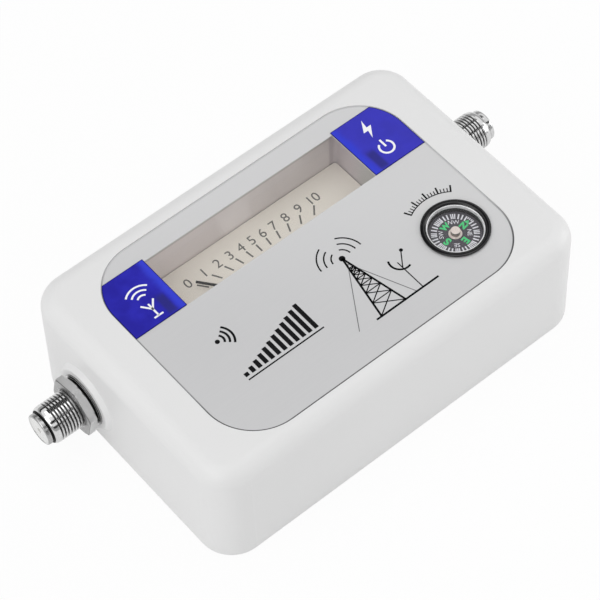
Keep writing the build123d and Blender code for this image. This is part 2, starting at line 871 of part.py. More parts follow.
def make_compass_cap():
    """Turned cup at the card's centre, hollow below for the pin's point."""
    cap = disc(cap_radius, card_under, card_top + cap_height)
    cap += disc(cap_flange_radius, card_top, card_top + cap_flange_height)
    cap = chamfer(cap.edges().sort_by(Axis.Z)[-1], cap_flange_height)
    bore = compass_pin_radius + compass_pin_gap
    cap -= disc(bore, card_under - overrun, card_top)
    cap -= Pos(0, 0, card_top + cap_pit_height / 2) * Cone(bore, compass_pin_gap, cap_pit_height)
    return at_compass(cap)


def make_compass_magnet():
    """Flat bar magnet under the card, pierced for the pin."""
    low = card_under - needle_thickness
    bar = block(-needle_length / 2, needle_length / 2, -needle_width / 2, needle_width / 2, low, card_under)
    return at_compass(bar - disc(compass_pin_radius + compass_pin_gap, low, card_under))


def make_socket_body():
    """Barrel through the end wall, full-size past the nut, stepped nose, inner flange and block on the board."""
    crest = rod(barrel_radius, nut_face + barrel_crest_gap, barrel_end)
    crest = chamfer(crest.edges().sort_by(Axis.X)[-1], barrel_chamfer)
    body = rod(barrel_root_radius, flange_face, nut_face + barrel_crest_gap) + crest
    nose = rod(nose_radius, barrel_end, nose_end)
    body += fillet(nose.edges().sort_by(Axis.X)[-1], nose_edge_radius)
    body += rod(flange_radius, flange_back, flange_face) & block(
        flange_back, flange_face, socket_y - flange_radius, socket_y + flange_radius,
        board_top, socket_z + flange_radius)
    near = socket_y - block_width / 2
    far = socket_y + block_width / 2
    body += block(block_back, flange_back, near, far, board_top, socket_z + block_rise)
    body -= rod(socket_bore_radius, block_back - overrun, nose_end + overrun)
    for x, y in leg_places():
        body += disc(leg_radius, board_base - lead_stub, board_top, x, y)
    return body


def leg_places():
    """The four legs under a socket's block."""
    left = block_back + leg_inset
    right = flange_back - leg_inset
    reach = block_width / 2 - leg_inset
    return [(x, socket_y + side * reach) for x in (left, right) for side in (-1, 1)]


def make_socket_insulator():
    """White plug that fills the bore, with a small hole for the cable's core."""
    plug = rod(socket_bore_radius, block_back, nose_end - insulator_inset)
    plug -= rod(contact_radius, block_back - overrun, nose_end - contact_front_inset)
    return plug - rod(entry_radius, block_back, nose_end)


def make_socket_contact():
    """Sprung tube that grips the cable's core, with a tail bent down through the board."""
    front = nose_end - contact_front_inset
    contact = rod(contact_radius, block_back, front)
    contact -= rod(contact_bore_radius, front - contact_bore_depth, front + overrun)
    tail_x = block_back - tail_reach
    contact += rod(tail_radius, tail_x, block_back)
    return contact + disc(tail_radius, board_base - lead_stub, socket_z + tail_radius, tail_x, socket_y)


def make_socket_washer():
    """Thin plain washer on the pad."""
    high = pad_face + washer_thickness
    return rod(washer_radius, pad_face, high) - rod(barrel_radius + fit_gap, pad_face, high)


def make_socket_nut():
    """Hexagon nut with a low collar behind it and both faces chamfered."""
    seat = pad_face + washer_thickness
    back = seat + nut_collar_height
    hexagon = RegularPolygon(nut_flats / 2, nut_corner_count, major_radius=False)
    turned = Pos(back, socket_y, socket_z) * Rot(X=nut_turn) * Rot(Y=quarter_turn)
    nut = turned * extrude(hexagon, nut_thickness)
    corner = nut_flats / 2 / math.cos(math.pi / nut_corner_count)
    limit = Pos(back, socket_y, socket_z) * Rot(Y=quarter_turn) * revolve(make_face(Plane.XZ * Polyline(
        (0, 0), (nut_flats / 2, 0), (corner, nut_chamfer), (corner, nut_thickness - nut_chamfer),
        (nut_flats / 2, nut_thickness), (0, nut_thickness), close=True)), Axis.Z)
    nut &= limit
    nut += rod(nut_collar_radius, seat, back)
    return nut - rod(barrel_root_radius + pin_gap, seat - overrun, nut_face + overrun)


def make_circuit_board():
    """Board on the cover's standoffs, drilled for every lead and screw."""
    board = plate(board_length, board_width, board_corner_radius, board_base, board_top)
    holes = [(x, y, board_screw_radius + fit_gap) for x, y in board_screw_places()]
    holes += [(x, y, terminal_radius + pin_gap) for x, y in terminal_places()]
    tail_x = block_back - tail_reach
    for side in (-1, 1):
        holes += [(side * x, y, leg_radius + pin_gap) for x, y in leg_places()]
        holes += [(side * tail_x, socket_y, tail_radius + pin_gap)]
    for x, y, radius in holes:
        board -= disc(radius, board_base - overrun, board_top + overrun, x, y)
    return board


def make_board_screws():
    """Four short screws through the board into the standoffs."""
    screws = []
    for x, y in board_screw_places():
        head = disc(board_head_radius, board_top, board_top + board_head_height, x, y)
        screws.append(head + disc(board_screw_radius, board_base - board_screw_grip + fit_gap, board_top, x, y))
    return screws


def make_shield_can():
    """Folded tin can over the tuned amplifier stage."""
    high = board_top + can_height
    can = plate(can_length, can_width, can_corner_radius, board_top, high, can_x, can_y)
    inner = 2 * can_wall
    return can - plate(can_length - inner, can_width - inner, can_corner_radius - can_wall,
                       board_top, high - can_wall, can_x, can_y)


def beside_bay(share):
    """A place in X on the board, as a share of the way from the movement's bay to the board's end."""
    return bay_right + share * (board_length / 2 - bay_right)


def make_amplifier_chip():
    """Small eight-legged amplifier chip in the middle of the can."""
    chip = Pos(can_x, can_y) * block(-chip_length / 2, chip_length / 2, -chip_width / 2, chip_width / 2,
                                     board_top, board_top + chip_height)
    reach = chip_width / 2 + chip_leg_reach
    for step in range(chip_leg_pairs):
        x = can_x + (step - (chip_leg_pairs - 1) / 2) * chip_leg_pitch
        chip += block(x - chip_leg_width / 2, x + chip_leg_width / 2, can_y - reach, can_y + reach,
                      board_top, board_top + chip_leg_height)
    return chip


def make_electrolytics():
    """Two upright capacitors that smooth the supply."""
    cans = []
    for step in range(electrolytic_count):
        can = disc(electrolytic_radius, board_top, board_top + electrolytic_height,
                   beside_bay(electrolytic_share + step * electrolytic_share_step), supply_row_y)
        cans.append(fillet(can.edges().sort_by(Axis.Z)[-1], electrolytic_edge_radius))
    return cans


def make_inductors():
    """Three upright drum cores, waisted where they are wound."""
    drums = []
    for step in range(inductor_count):
        x = beside_bay(inductor_share + step * inductor_share_step)
        high = board_top + inductor_height
        drum = disc(inductor_waist_radius, board_top, high, x, coil_row_y)
        drum += disc(inductor_radius, board_top, board_top + inductor_flange, x, coil_row_y)
        drums.append(drum + disc(inductor_radius, high - inductor_flange, high, x, coil_row_y))
    return drums


def make_trimmer():
    """Gain trimmer with a slotted rotor."""
    half = trimmer_side / 2
    high = board_top + trimmer_height
    trimmer = block(-half, half, -half, half, board_top, high) + disc(rotor_radius, high, high + rotor_height)
    trimmer -= block(-rotor_radius, rotor_radius, -rotor_slot_width / 2, rotor_slot_width / 2,
                     high, high + rotor_height)
    return Pos(beside_bay(trimmer_share), coil_row_y) * trimmer


def make_regulator():
    """Flat-packed voltage regulator by the power socket."""
    return Pos(beside_bay(regulator_share), supply_row_y) * block(
        -regulator_length / 2, regulator_length / 2, -regulator_width / 2, regulator_width / 2,
        board_top, board_top + regulator_height)


def make_chip_parts():
    """A row of small surface-mounted parts under the meter's bay."""
    parts = []
    for step in range(part_count):
        x = part_row_x + step * part_pitch
        parts.append(block(x - part_length / 2, x + part_length / 2, part_row_y - part_width / 2,
                           part_row_y + part_width / 2, board_top, board_top + part_height))
    return parts


def write(name, shape):
    """Writes one node, joining a group's separate solids in one compound."""
    if isinstance(shape, (list, ShapeList)):
        shape = Compound(children=[Compound(piece.wrapped) for piece in shape])
    export_step(shape, f"parts/{name}.step")


def mirrored(shape):
    """The antenna end's copy of a piece made at the power end."""
    return mirror(shape, Plane.YZ)


os.makedirs("parts", exist_ok=True)
write("top_shell", make_top_shell())
write("bottom_cover", make_bottom_cover())
write("cover_screws", make_cover_screws())
write("face_label", make_face_label())
write("antenna_tab", make_tab(-1))
write("power_tab", make_tab(1))
write("meter_case", make_meter_case())
write("meter_screws", make_meter_screws())
write("meter_cover", make_meter_cover())
write("scale_plate", make_scale_plate())
write("scale_screws", make_scale_screws())
write("pointer_stops", make_pointer_stops())
write("lower_bridge", make_lower_bridge())
write("upper_bridge", make_upper_bridge())
write("bridge_screws", make_bridge_screws())
write("yoke_ring", make_yoke_ring())
write("core_magnet", make_core_magnet())
write("core_supports", make_core_supports())
write("jewel_bearings", make_jewel_bearings())
write("hairsprings", make_hairsprings())
write("meter_terminals", make_meter_terminals())
write("moving_coil", make_moving_coil())
write("coil_pivots", make_coil_pivots())
write("pointer", make_pointer())
write("compass_housing", make_compass_housing())
write("compass_lens", make_compass_lens())
write("compass_ring", make_compass_ring())
write("compass_pin", make_compass_pin())
write("compass_card", make_compass_card())
write("compass_cap", make_compass_cap())
write("compass_magnet", make_compass_magnet())
write("circuit_board", make_circuit_board())
write("board_screws", make_board_screws())
write("shield_can", make_shield_can())
write("amplifier_chip", make_amplifier_chip())
write("electrolytics", make_electrolytics())
write("inductors", make_inductors())
write("gain_trimmer", make_trimmer())
write("voltage_regulator", make_regulator())
write("chip_parts", make_chip_parts())
socket_pieces = {
    "socket_body": make_socket_body(),
    "insulator": make_socket_insulator(),
    "contact": make_socket_contact(),
    "washer": make_socket_washer(),
    "nut": make_socket_nut(),
}
for piece_name, piece in socket_pieces.items():
    write(f"power_{piece_name}", piece)
    write(f"antenna_{piece_name}", mirrored(piece))
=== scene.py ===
import math

import bmesh
import bpy
import numpy as np
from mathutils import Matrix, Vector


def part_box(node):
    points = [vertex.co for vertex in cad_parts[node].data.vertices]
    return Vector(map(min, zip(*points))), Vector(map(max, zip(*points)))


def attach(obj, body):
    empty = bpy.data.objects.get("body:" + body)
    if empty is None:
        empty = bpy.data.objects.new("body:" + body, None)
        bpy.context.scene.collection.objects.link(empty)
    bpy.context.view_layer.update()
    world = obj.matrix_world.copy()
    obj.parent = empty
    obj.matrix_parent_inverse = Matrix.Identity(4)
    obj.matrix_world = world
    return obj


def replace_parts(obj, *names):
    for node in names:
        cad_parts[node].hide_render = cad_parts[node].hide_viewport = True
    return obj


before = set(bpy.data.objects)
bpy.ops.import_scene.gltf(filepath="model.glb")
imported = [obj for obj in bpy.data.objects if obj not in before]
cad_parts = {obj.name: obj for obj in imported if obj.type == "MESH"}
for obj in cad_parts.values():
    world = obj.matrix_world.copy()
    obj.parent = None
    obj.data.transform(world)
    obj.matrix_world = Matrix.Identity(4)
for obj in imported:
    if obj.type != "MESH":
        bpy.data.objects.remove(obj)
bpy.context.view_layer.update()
MM = 0.001

# The view: the tester lies on a table and is looked down on from over its near left corner,
# from half a metre away through a long lens.
lens_length = 150.46
camera_place = (-0.197935, -0.250433, 0.471633)
camera_turn = (34.96543, 1.314397, -39.854206)

camera_data = bpy.data.cameras.new("camera")
camera_data.lens = lens_length
camera = bpy.data.objects.new("camera", camera_data)
camera.location = camera_place
camera.rotation_euler = [math.radians(angle) for angle in camera_turn]
bpy.context.scene.collection.objects.link(camera)
bpy.context.scene.camera = camera
bpy.context.scene.view_settings.view_transform = "Standard"


# The table and the light: a white sweep in a light tent, a large soft lamp over the left end, small ones at
# the right and overhead, and black cards and a low grey wall out of the picture, seen only in reflections.
class Wire:
    """A socket in a node tree. Arithmetic on it adds Math nodes to the tree."""

    def __init__(self, tree, socket):
        self.tree = tree
        self.socket = socket

    def node(self, kind, inputs, output=0, stops=(), **settings):
        """Adds a node: its settings and ramp stops first, then the values or links of its sockets."""
        made = self.tree.nodes.new("ShaderNode" + kind)
        for name, value in settings.items():
            setattr(made, name, value)
        for index, (position, colour) in enumerate(stops):
            elements = made.color_ramp.elements
            stop = elements[index] if index < len(elements) else elements.new(position)
            stop.position = position
            stop.color = colour
        for name, value in inputs.items():
            if isinstance(value, Wire):
                self.tree.links.new(value.socket, made.inputs[name])
            else:
                made.inputs[name].default_value = value
        return Wire(self.tree, made.outputs[output])

    def maths(self, operation, *values):
        return self.node("Math", dict(enumerate(values)), operation=operation)

    def __add__(self, other):
        return self.maths("ADD", self, other)

    def __sub__(self, other):
        return self.maths("SUBTRACT", self, other)

    def __rsub__(self, other):
        return self.maths("SUBTRACT", other, self)

    def __mul__(self, other):
        return self.maths("MULTIPLY", self, other)

    def __truediv__(self, other):
        return self.maths("DIVIDE", self, other)

    __radd__ = __add__
    __rmul__ = __mul__

    def bigger(self, other):
        return self.maths("MAXIMUM", self, other)

    def smaller(self, other):
        return self.maths("MINIMUM", self, other)

    def size(self):
        return self.maths("ABSOLUTE", self)

    def root(self):
        return self.maths("SQRT", self)

    def ramp(self, low, high):
        """Rises smoothly from 0 at low to 1 at high."""
        return self.node("MapRange", {"Value": self, "From Min": low, "From Max": high},
                         interpolation_type="SMOOTHSTEP")

    def blend(self, first, second):
        """A colour between two, each a wire or three numbers, with this wire as the share of the second."""
        first, second = (colour if isinstance(colour, Wire) else (*colour, 1) for colour in (first, second))
        return self.node("Mix", {0: self, 6: first, 7: second}, output=2, data_type="RGBA")

    def split(self):
        """The three numbers of a place."""
        return [self.node("SeparateXYZ", {0: self}, output=axis) for axis in range(3)]

    def cloud(self, grain, detail=3.0, rough=0.5):
        """Soft noise from 0 to 1 whose lumps are about one grain wide, in metres."""
        settings = {"Vector": self, "Scale": 1 / grain, "Detail": detail, "Roughness": rough}
        return self.node("TexNoise", settings)

    def stretched(self, x, y, z):
        """The same place with each axis scaled: a pattern on it draws out along the smallest."""
        return self.node("VectorMath", {0: self, 1: (x, y, z)}, operation="MULTIPLY")


def grey(value):
    return (value, value, value, 1)


def light_path(wire, in_mirror=1.0):
    """1 for what the camera sees straight or through glass, and another share for what it sees mirrored."""
    camera_ray, glossy_ray, glass_ray = [
        wire.node("LightPath", {}, output=f"Is {kind} Ray") for kind in ("Camera", "Glossy", "Transmission")]
    return camera_ray.bigger(glossy_ray * in_mirror).bigger(glass_ray)


world_level = 0.62
world = bpy.data.worlds.new("studio")
world.use_nodes = True
bpy.context.scene.world = world
sky_node = world.node_tree.nodes["Background"]
sky = Wire(world.node_tree, sky_node.outputs[0])
sky_strength = world_level + light_path(sky) * (1 - world_level)
world.node_tree.links.new(sky_strength.socket, sky_node.inputs["Strength"])
sky_node.inputs["Color"].default_value = grey(1.0)

floor_size = 3.0
floor_white_share = 0.93
floor_in_mirror = 0.5
floor_mesh = bpy.data.meshes.new("table")
half = floor_size / 2
floor_corners = [(-half, -half, 0), (half, -half, 0), (half, half, 0), (-half, half, 0)]
floor_mesh.from_pydata(floor_corners, [], [(0, 1, 2, 3)])
table = bpy.data.objects.new("table", floor_mesh)
bpy.context.scene.collection.objects.link(table)
paper = bpy.data.materials.new("table_white")
paper.use_nodes = True
paper_shader = paper.node_tree.nodes["Principled BSDF"]
paper_shader.inputs["Base Color"].default_value = grey(0.88)
paper_shader.inputs["Roughness"].default_value = 0.9
lit = Wire(paper.node_tree, paper_shader.outputs[0])
glow = lit.node("Emission", {"Color": grey(1.0), "Strength": 1.0})
mixed = lit.node("MixShader", {0: light_path(lit, floor_in_mirror) * floor_white_share, 1: lit, 2: glow})
paper.node_tree.links.new(mixed.socket, paper.node_tree.nodes["Material Output"].inputs["Surface"])
table.data.materials.append(paper)

lamps = {
    "shoulder_lamp": {"place": (-0.715, -0.14, 0.705), "side": 0.9, "watts": 3.25},
    "right_lamp": {"place": (0.35, -0.15, 0.12), "side": 0.2, "watts": 0.34},
    "overhead_lamp": {"place": (0.1, 0.25, 0.95), "side": 0.7, "watts": 1.3},
}
for name, lamp in lamps.items():
    lamp_data = bpy.data.lights.new(name, "AREA")
    lamp_data.shape = "SQUARE"
    lamp_data.size = lamp["side"]
    lamp_data.energy = lamp["watts"]
    lamp_object = bpy.data.objects.new(name, lamp_data)
    lamp_object.location = lamp["place"]
    lamp_object.rotation_euler = (-lamp_object.location).to_track_quat("-Z", "Y").to_euler()
    bpy.context.scene.collection.objects.link(lamp_object)

card_papers = {}
for name, base, shine in (("black_card", 0.01, 0.0), ("grey_wall", 0.0, 0.45)):
    card_papers[name] = bpy.data.materials.new(name)
    card_papers[name].use_nodes = True
    card_shader = card_papers[name].node_tree.nodes["Principled BSDF"]
    card_shader.inputs["Base Color"].default_value = grey(base)
    card_shader.inputs["Roughness"].default_value = 1.0
    card_shader.inputs["Emission Color"].default_value = grey(shine)
    card_shader.inputs["Emission Strength"].default_value = 1.0
cards = {
    "high_card": [(-0.5, -0.215, 0.456), (0.8, -0.215, 0.456), (0.8, -0.32, 0.384), (-0.5, -0.32, 0.384)],
    "mirror_card": [(-0.02, 0.14, 0.6), (0.385, 0.14, 0.6), (0.385, 0.364, 0.6), (-0.02, 0.364, 0.6)],
    "mirror_card_left": [(-0.02, 0.364, 0.6), (0.235, 0.364, 0.6), (0.274, 0.52, 0.6), (-0.02, 0.52, 0.6)],
    "mirror_card_right": [(0.253, 0.364, 0.6), (0.385, 0.364, 0.6), (0.385, 0.52, 0.6), (0.33, 0.52, 0.6)],
    "back_card": [(-0.6, 0.9, 0.3), (0.4, 0.9, 0.3), (0.4, 0.9, 0.56), (-0.6, 0.9, 0.56)],
    "front_card": [(-0.6, -0.9, 0.3), (0.4, -0.9, 0.3), (0.4, -0.9, 0.56), (-0.6, -0.9, 0.56)],
}
wall_sides = 48
wall_distance = 1.3
wall_height = 0.75
wall_turns = [2 * math.pi * side / wall_sides for side in range(wall_sides)]
cards["grey_wall"] = [(wall_distance * math.cos(turn), wall_distance * math.sin(turn), height)
                      for turn in wall_turns for height in (0, wall_height)]
for name, corners in cards.items():
    card_mesh = bpy.data.meshes.new(name)
    card_faces = [(0, 1, 2, 3)]
    if name == "grey_wall":
        card_faces = [[(2 * side + step) % (2 * wall_sides) for step in (0, 1, 3, 2)]
                      for side in range(wall_sides)]
    card_mesh.from_pydata(corners, [], card_faces)
    card_mesh.materials.append(card_papers.get(name, card_papers["black_card"]))
    card_sheet = bpy.data.objects.new(name, card_mesh)
    bpy.context.scene.collection.objects.link(card_sheet)
    card_sheet.visible_camera = False
    card_sheet.visible_diffuse = False
    card_sheet.visible_shadow = False
    card_sheet.visible_transmission = False


# The case: two shells moulded in white plastic, the deep upper one closed from below by a flat cover.
# The mould was lightly spark-eroded, which leaves a fine grain on every outside face.
def finish(name, constants):
    """A new material with constants on the shader's own sockets, and its Object coordinates to build on."""
    material = bpy.data.materials.new(name)
    material.use_nodes = True
    shader = material.node_tree.nodes["Principled BSDF"]
    for socket, value in constants.items():
        shader.inputs[socket].default_value = value
    origin = Wire(material.node_tree, shader.outputs[0])
    return material, origin.node("TexCoord", {}, output="Object")


def feed(material, socket, wire):
    """Leads a wire into one socket of the material's shader."""
    shader = material.node_tree.nodes["Principled BSDF"]
    material.node_tree.links.new(wire.socket, shader.inputs[socket])


def coated(material, colour, height, depth, roughness=None):
    """Feeds a finish its colour and roughness, and roughens it by a height from 0 to 1, as deep as the depth
    in metres."""
    feed(material, "Base Color", colour)
    if roughness is not None:
        feed(material, "Roughness", roughness)
    feed(material, "Normal", height.node("Bump", {"Height": height, "Distance": depth, "Strength": 1.0}))
    return material


def dress(node, material):
    """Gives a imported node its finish."""
    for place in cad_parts[node].material_slots:
        place.material = material


def moulded(name, light, dark, roughness, grain=0.35 * MM, depth=0.012 * MM):
    """Moulded plastic: a faint drift of tone, tiny specks, and a fine grain that breaks the gloss."""
    material, place = finish(name, {"Roughness": roughness, "IOR": 1.5})
    drift = place.cloud(22 * MM, 2)
    speck = place.cloud(0.8 * MM, 2).ramp(0.68, 0.78)
    erosion = place.cloud(grain, 3, 0.6)
    return coated(material, (drift * 0.6 + speck * 0.4).blend(light, dark), erosion, depth,
                  roughness + (erosion - 0.5) * 0.12 + (drift - 0.5) * 0.06)


case_white = moulded("case_white", (0.80, 0.80, 0.80), (0.765, 0.765, 0.765), 0.42)
dress("top_shell", case_white)
dress("bottom_cover", case_white)


# The four cover screws: zinc-plated self-tapping screws with a domed head and a cross recess.
# The head is a grid in radius and angle, the shank a thread wound on a core that tapers at its point.
def tidy_faces(mesh):
    """Merges doubled points and points every face outwards."""
    work = bmesh.new()
    work.from_mesh(mesh)
    bmesh.ops.remove_doubles(work, verts=work.verts, dist=1e-7)
    bmesh.ops.dissolve_degenerate(work, edges=work.edges, dist=1e-8)
    bmesh.ops.recalc_face_normals(work, faces=work.faces)
    work.to_mesh(mesh)
    work.free()


smooth_angle = 35


def new_piece(name, parts, material, body):
    """Makes one object at the origin of parts in millimetres, dressed and riding on its body."""
    points, faces = joined(parts)
    mesh = bpy.data.meshes.new(name)
    mesh.from_pydata((points * MM).tolist(), [], faces)
    tidy_faces(mesh)
    mesh.shade_smooth()
    mesh.set_sharp_from_angle(angle=math.radians(smooth_angle))
    mesh.materials.append(material)
    piece = bpy.data.objects.new(name, mesh)
    bpy.context.scene.collection.objects.link(piece)
    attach(piece, body)
    return piece


def sheet_faces(rows, columns, wrap_rows=False, wrap_columns=False):
    """Four-sided faces of a grid of points numbered row by row, closed on itself where asked."""
    row = np.arange(rows if wrap_rows else rows - 1)[:, None]
    column = np.arange(columns if wrap_columns else columns - 1)[None, :]
    next_row = (row + 1) % rows * columns
    next_column = (column + 1) % columns
    corners = [row * columns + column, row * columns + next_column, next_row + next_column, next_row + column]
    return np.stack(np.broadcast_arrays(*corners), -1).reshape(-1, 4).tolist()


def joined(parts):
    """Puts several sets of points and faces in one."""
    points, faces, count = [], [], 0
    for part_points, part_faces in parts:
        points.append(np.asarray(part_points, float).reshape(-1, 3))
        faces += [[corner + count for corner in face] for face in part_faces]
        count += len(points[-1])
    return np.concatenate(points), faces


def turned(profile, turns=96, wave=None):
    """An outline of (height, radius) pairs turned about Z, each radius changed by a function of both."""
    height, radius = np.asarray(profile, float).T
    angle = np.arange(turns) * 2 * np.pi / turns
    height, angle = np.meshgrid(height, angle, indexing="ij")
    radius = np.broadcast_to(radius[:, None], angle.shape)
    if wave is not None:
        radius = wave(height, radius, angle)
    points = np.stack([radius * np.cos(angle), radius * np.sin(angle), height], -1)
    return points.reshape(-1, 3), sheet_faces(len(profile), turns, False, True)


head_radius = 2.6
head_height = 1.2
head_dome = 0.5
core_radius = 0.85
crest_radius = 1.2
shank_length = 11.0
screw_pitch = 1.0
recess_width = 0.75
recess_reach = 1.55
recess_depth = 0.8
recess_slope = 0.12


def cross_recess(x, y):
    """How deep the recess is: full within either of two crossed slots that end short of the rim."""
    inside = np.clip((recess_width / 2 - np.minimum(abs(x), abs(y))) / recess_slope, 0, 1)
    return recess_depth * inside * np.clip((recess_reach - np.hypot(x, y)) / recess_slope, 0, 1)


def screw_thread(height, radius, angle):
    """The core's radius raised by a sharp ridge that climbs one pitch a turn and fades to the point."""
    phase = (height / screw_pitch - angle / (2 * np.pi)) % 1
    ridge = np.clip(1 - abs(phase - 0.5) * 3, 0, 1)
    taper = np.clip((head_height + shank_length - height) / (2.5 * screw_pitch), 0.03, 1)
    wound = (height > head_height + 0.3 * screw_pitch) * (radius > 0) * (radius < head_radius * 0.9)
    return np.where(wound, (core_radius + (crest_radius - core_radius) * ridge) * taper, radius)


def cross_screw():
    """A domed head that faces down at height 0, its recess pressed in, and a threaded shank upwards."""
    out = np.concatenate([np.linspace(0, 0.75, 26), np.linspace(0.78, 1, 10)]) * head_radius
    head, head_faces = turned(np.stack([head_dome * (out / head_radius) ** 4, out], 1), 96)
    head[:, 2] += cross_recess(head[:, 0], head[:, 1])
    profile = [(head_dome, head_radius), (head_height, head_radius), (head_height, core_radius)]
    profile += [(head_height + rise, core_radius) for rise in np.arange(0, shank_length, screw_pitch / 10)]
    profile += [(head_height + shank_length, 0)]
    return joined([(head, head_faces), turned(profile, 48, screw_thread)])


def zinc(name, tone=(0.52, 0.53, 0.54), roughness=0.34):
    """Bright zinc plating: cloudy, faintly blue, with fine scratches."""
    material, place = finish(name, {"Metallic": 1.0, "Roughness": roughness})
    cloudy = place.cloud(1.2 * MM, 4)
    scratch = place.stretched(1, 6, 2).cloud(0.25 * MM, 2)
    return coated(material, cloudy.blend(tone, tuple(part * 0.78 for part in tone)),
                  scratch, 0.004 * MM, roughness + (scratch - 0.5) * 0.2)


zinc_plate = zinc("zinc_plate")
screw_points, screw_faces = cross_screw()
low, high = (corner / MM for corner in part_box("cover_screws"))
places = [(x, y, low.z) for x in (head_radius - high.x, high.x - head_radius)
          for y in (head_radius - high.y, high.y - head_radius)]
cover_screws = new_piece("cover_cross_screws", [(screw_points + place, screw_faces) for place in places],
                         zinc_plate, "housing")
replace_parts(cover_screws, "cover_screws")


# The face label: a silver film stuck in the face's recess, satin, with fine lengthwise brushing.
# Its printing is black ink: a transmitting mast with grey guys, a row of level bars and a small tick arc.
def past_outline(x, y, middle, half, radius):
    """How far a place lies outside a round-cornered rectangle: the length past its inset corner."""
    across = (x - middle[0] * MM).size() - (half[0] - radius) * MM
    along = (y - middle[1] * MM).size() - (half[1] - radius) * MM
    over_x, over_y = across.bigger(0), along.bigger(0)
    return (over_x * over_x + over_y * over_y).root() + across.bigger(along).smaller(0) - radius * MM


def silver_film():
    """Satin film with faint streaks along the case, and a painted sheen that lightens it towards the compass
    end.
    A painted gap shade shows as a dark line along the near and left cut edges, and hardly at all along the
    other two."""
    material, place = finish("silver_film", {"Metallic": 0.2, "Roughness": 0.42, "IOR": 1.5})
    x, y, _ = place.split()
    streak = place.stretched(0.06, 1, 1).cloud(0.5 * MM, 3)
    drift = place.cloud(30 * MM, 2)
    silver = (streak * 0.5 + drift * 0.5).blend((0.645, 0.645, 0.65), (0.595, 0.595, 0.605))
    # Painted sheen: the film turns lighter towards the compass end.
    lighter = (x * 0.7 + y).ramp(-25 * MM, 25 * MM) * 0.8
    silver = lighter.blend(silver, (0.70, 0.70, 0.705))
    # Painted gap shade: a dark line just inside the cut edge, dark on the near and left edges, pale on the
    # far and right ones.
    outside = past_outline(x, y, label_middle, film_half, film_corner)
    rim = outside.ramp(-gap_shade_width * MM, -0.75 * gap_shade_width * MM)
    left_edge = (1 - x.ramp(-39 * MM, -34 * MM)) * y.ramp(-20 * MM, -10 * MM) * 0.45
    pale = (x * 0.5 + y).ramp(-8 * MM, 12 * MM).bigger(left_edge)
    edge_gap_shade = pale.blend((0.09, 0.09, 0.095), (0.58, 0.58, 0.59))
    return coated(material, rim.blend(silver, edge_gap_shade),
                  place.cloud(0.9 * MM, 2) + streak * 0.5, 0.004 * MM, 0.42 + (streak - 0.5) * 0.12)


def ink(name, tone, worn):
    """Screen-printed ink: slightly uneven, semi-gloss."""
    material, place = finish(name, {"Roughness": 0.6, "Specular IOR Level": 0.08})
    cover = place.cloud(0.3 * MM, 3)
    return coated(material, cover.ramp(0.45, 0.8).blend(tone, worn), cover, 0.003 * MM)


ink_sunk = 0.01
ink_proud = 0.02


def raised(outline, height):
    """An outline of (x, y) pairs at a height."""
    return np.column_stack([outline, np.full(len(outline), height)])


def carried(path, half_width, top):
    """A line of ink on a face at a height: a rectangle carried along a path, set off along its mitres."""
    path = np.asarray(path, float)
    ahead = np.diff(path, axis=0)
    ahead = np.concatenate([ahead, ahead[-1:]])
    ahead /= np.linalg.norm(ahead, axis=1)[:, None]
    along = ahead + np.concatenate([ahead[:1], ahead[:-1]])
    along /= np.linalg.norm(along, axis=1)[:, None]
    stretch = 1 / np.clip((along * ahead).sum(1), 0.35, 1)
    side = np.stack([-along[:, 1], along[:, 0]], 1) * (half_width * stretch)[:, None]
    rings = [raised(path + side * way, top + height)
             for way, height in ((1, ink_proud), (-1, ink_proud), (-1, -ink_sunk), (1, -ink_sunk))]
    last = 4 * (len(path) - 1)
    ends = [[0, 1, 2, 3], [last + 3, last + 2, last + 1, last]]
    return np.stack(rings, 1).reshape(-1, 3), sheet_faces(len(path), 4, False, True) + ends


def strokes(lines, half_width, top):
    """Several lines of ink of one width."""
    return [carried(line, half_width, top) for line in lines]


def prism(first, last):
    """Straight sides between two like outlines, closed at both ends."""
    count = len(first)
    ends = [list(range(count))[::-1], list(range(count, 2 * count))]
    return np.concatenate([first, last]), sheet_faces(2, count, False, True) + ends


def filled(outline, top, proud=ink_proud):
    """A patch of ink on a face at a height: an outline with straight sides between two heights."""
    return prism(raised(outline, top - ink_sunk), raised(outline, top + proud))


def bow(x, y, radius, start, end, steps=24):
    """Points along a circle's arc between two angles in degrees."""
    angle = np.radians(np.linspace(start, end, steps))
    return np.stack([x + radius * np.cos(angle), y + radius * np.sin(angle)], 1)


def round_corners(middle, half, radius):
    """The outline of a round-cornered rectangle: a quarter circle about each inset corner."""
    x, y = half[0] - radius, half[1] - radius
    quarters = ((x, y, 0), (-x, y, 90), (-x, -y, 180), (x, -y, 270))
    return np.concatenate([bow(middle[0] + across, middle[1] + along, radius, start, start + 90)
                           for across, along, start in quarters])


def read_curve(curve):
    """The points and faces of a filled flat curve, which is then thrown away."""
    setter = bpy.data.objects.new("setter", curve)
    bpy.context.scene.collection.objects.link(setter)
    bpy.context.view_layer.update()
    mesh = bpy.data.meshes.new_from_object(setter.evaluated_get(bpy.context.evaluated_depsgraph_get()))
    points = np.empty(len(mesh.vertices) * 3)
    mesh.vertices.foreach_get("co", points)
    faces = [list(face.vertices) for face in mesh.polygons]
    bpy.data.objects.remove(setter)
    bpy.data.meshes.remove(mesh)
    bpy.data.curves.remove(curve)
    return points.reshape(-1, 3), faces


def sheet_with_holes(outlines, low, high):
    """A sheet between two heights, filled inside its first outline and outside the others."""
    curve = bpy.data.curves.new("sheet", "CURVE")
    curve.dimensions = "2D"
    curve.fill_mode = "BOTH"
    curve.extrude = (high - low) / 2
    for outline in outlines:
        spline = curve.splines.new("POLY")
        spline.points.add(len(outline) - 1)
        for point, (x, y) in zip(spline.points, outline):
            point.co = (x, y, 0, 1)
        spline.use_cyclic_u = True
    points, faces = read_curve(curve)
    return points + (0, 0, (low + high) / 2), faces


def rung(first, last, share):
    """The point a share of the way between two points."""
    return (first[0] + (last[0] - first[0]) * share, first[1] + (last[1] - first[1]) * share)


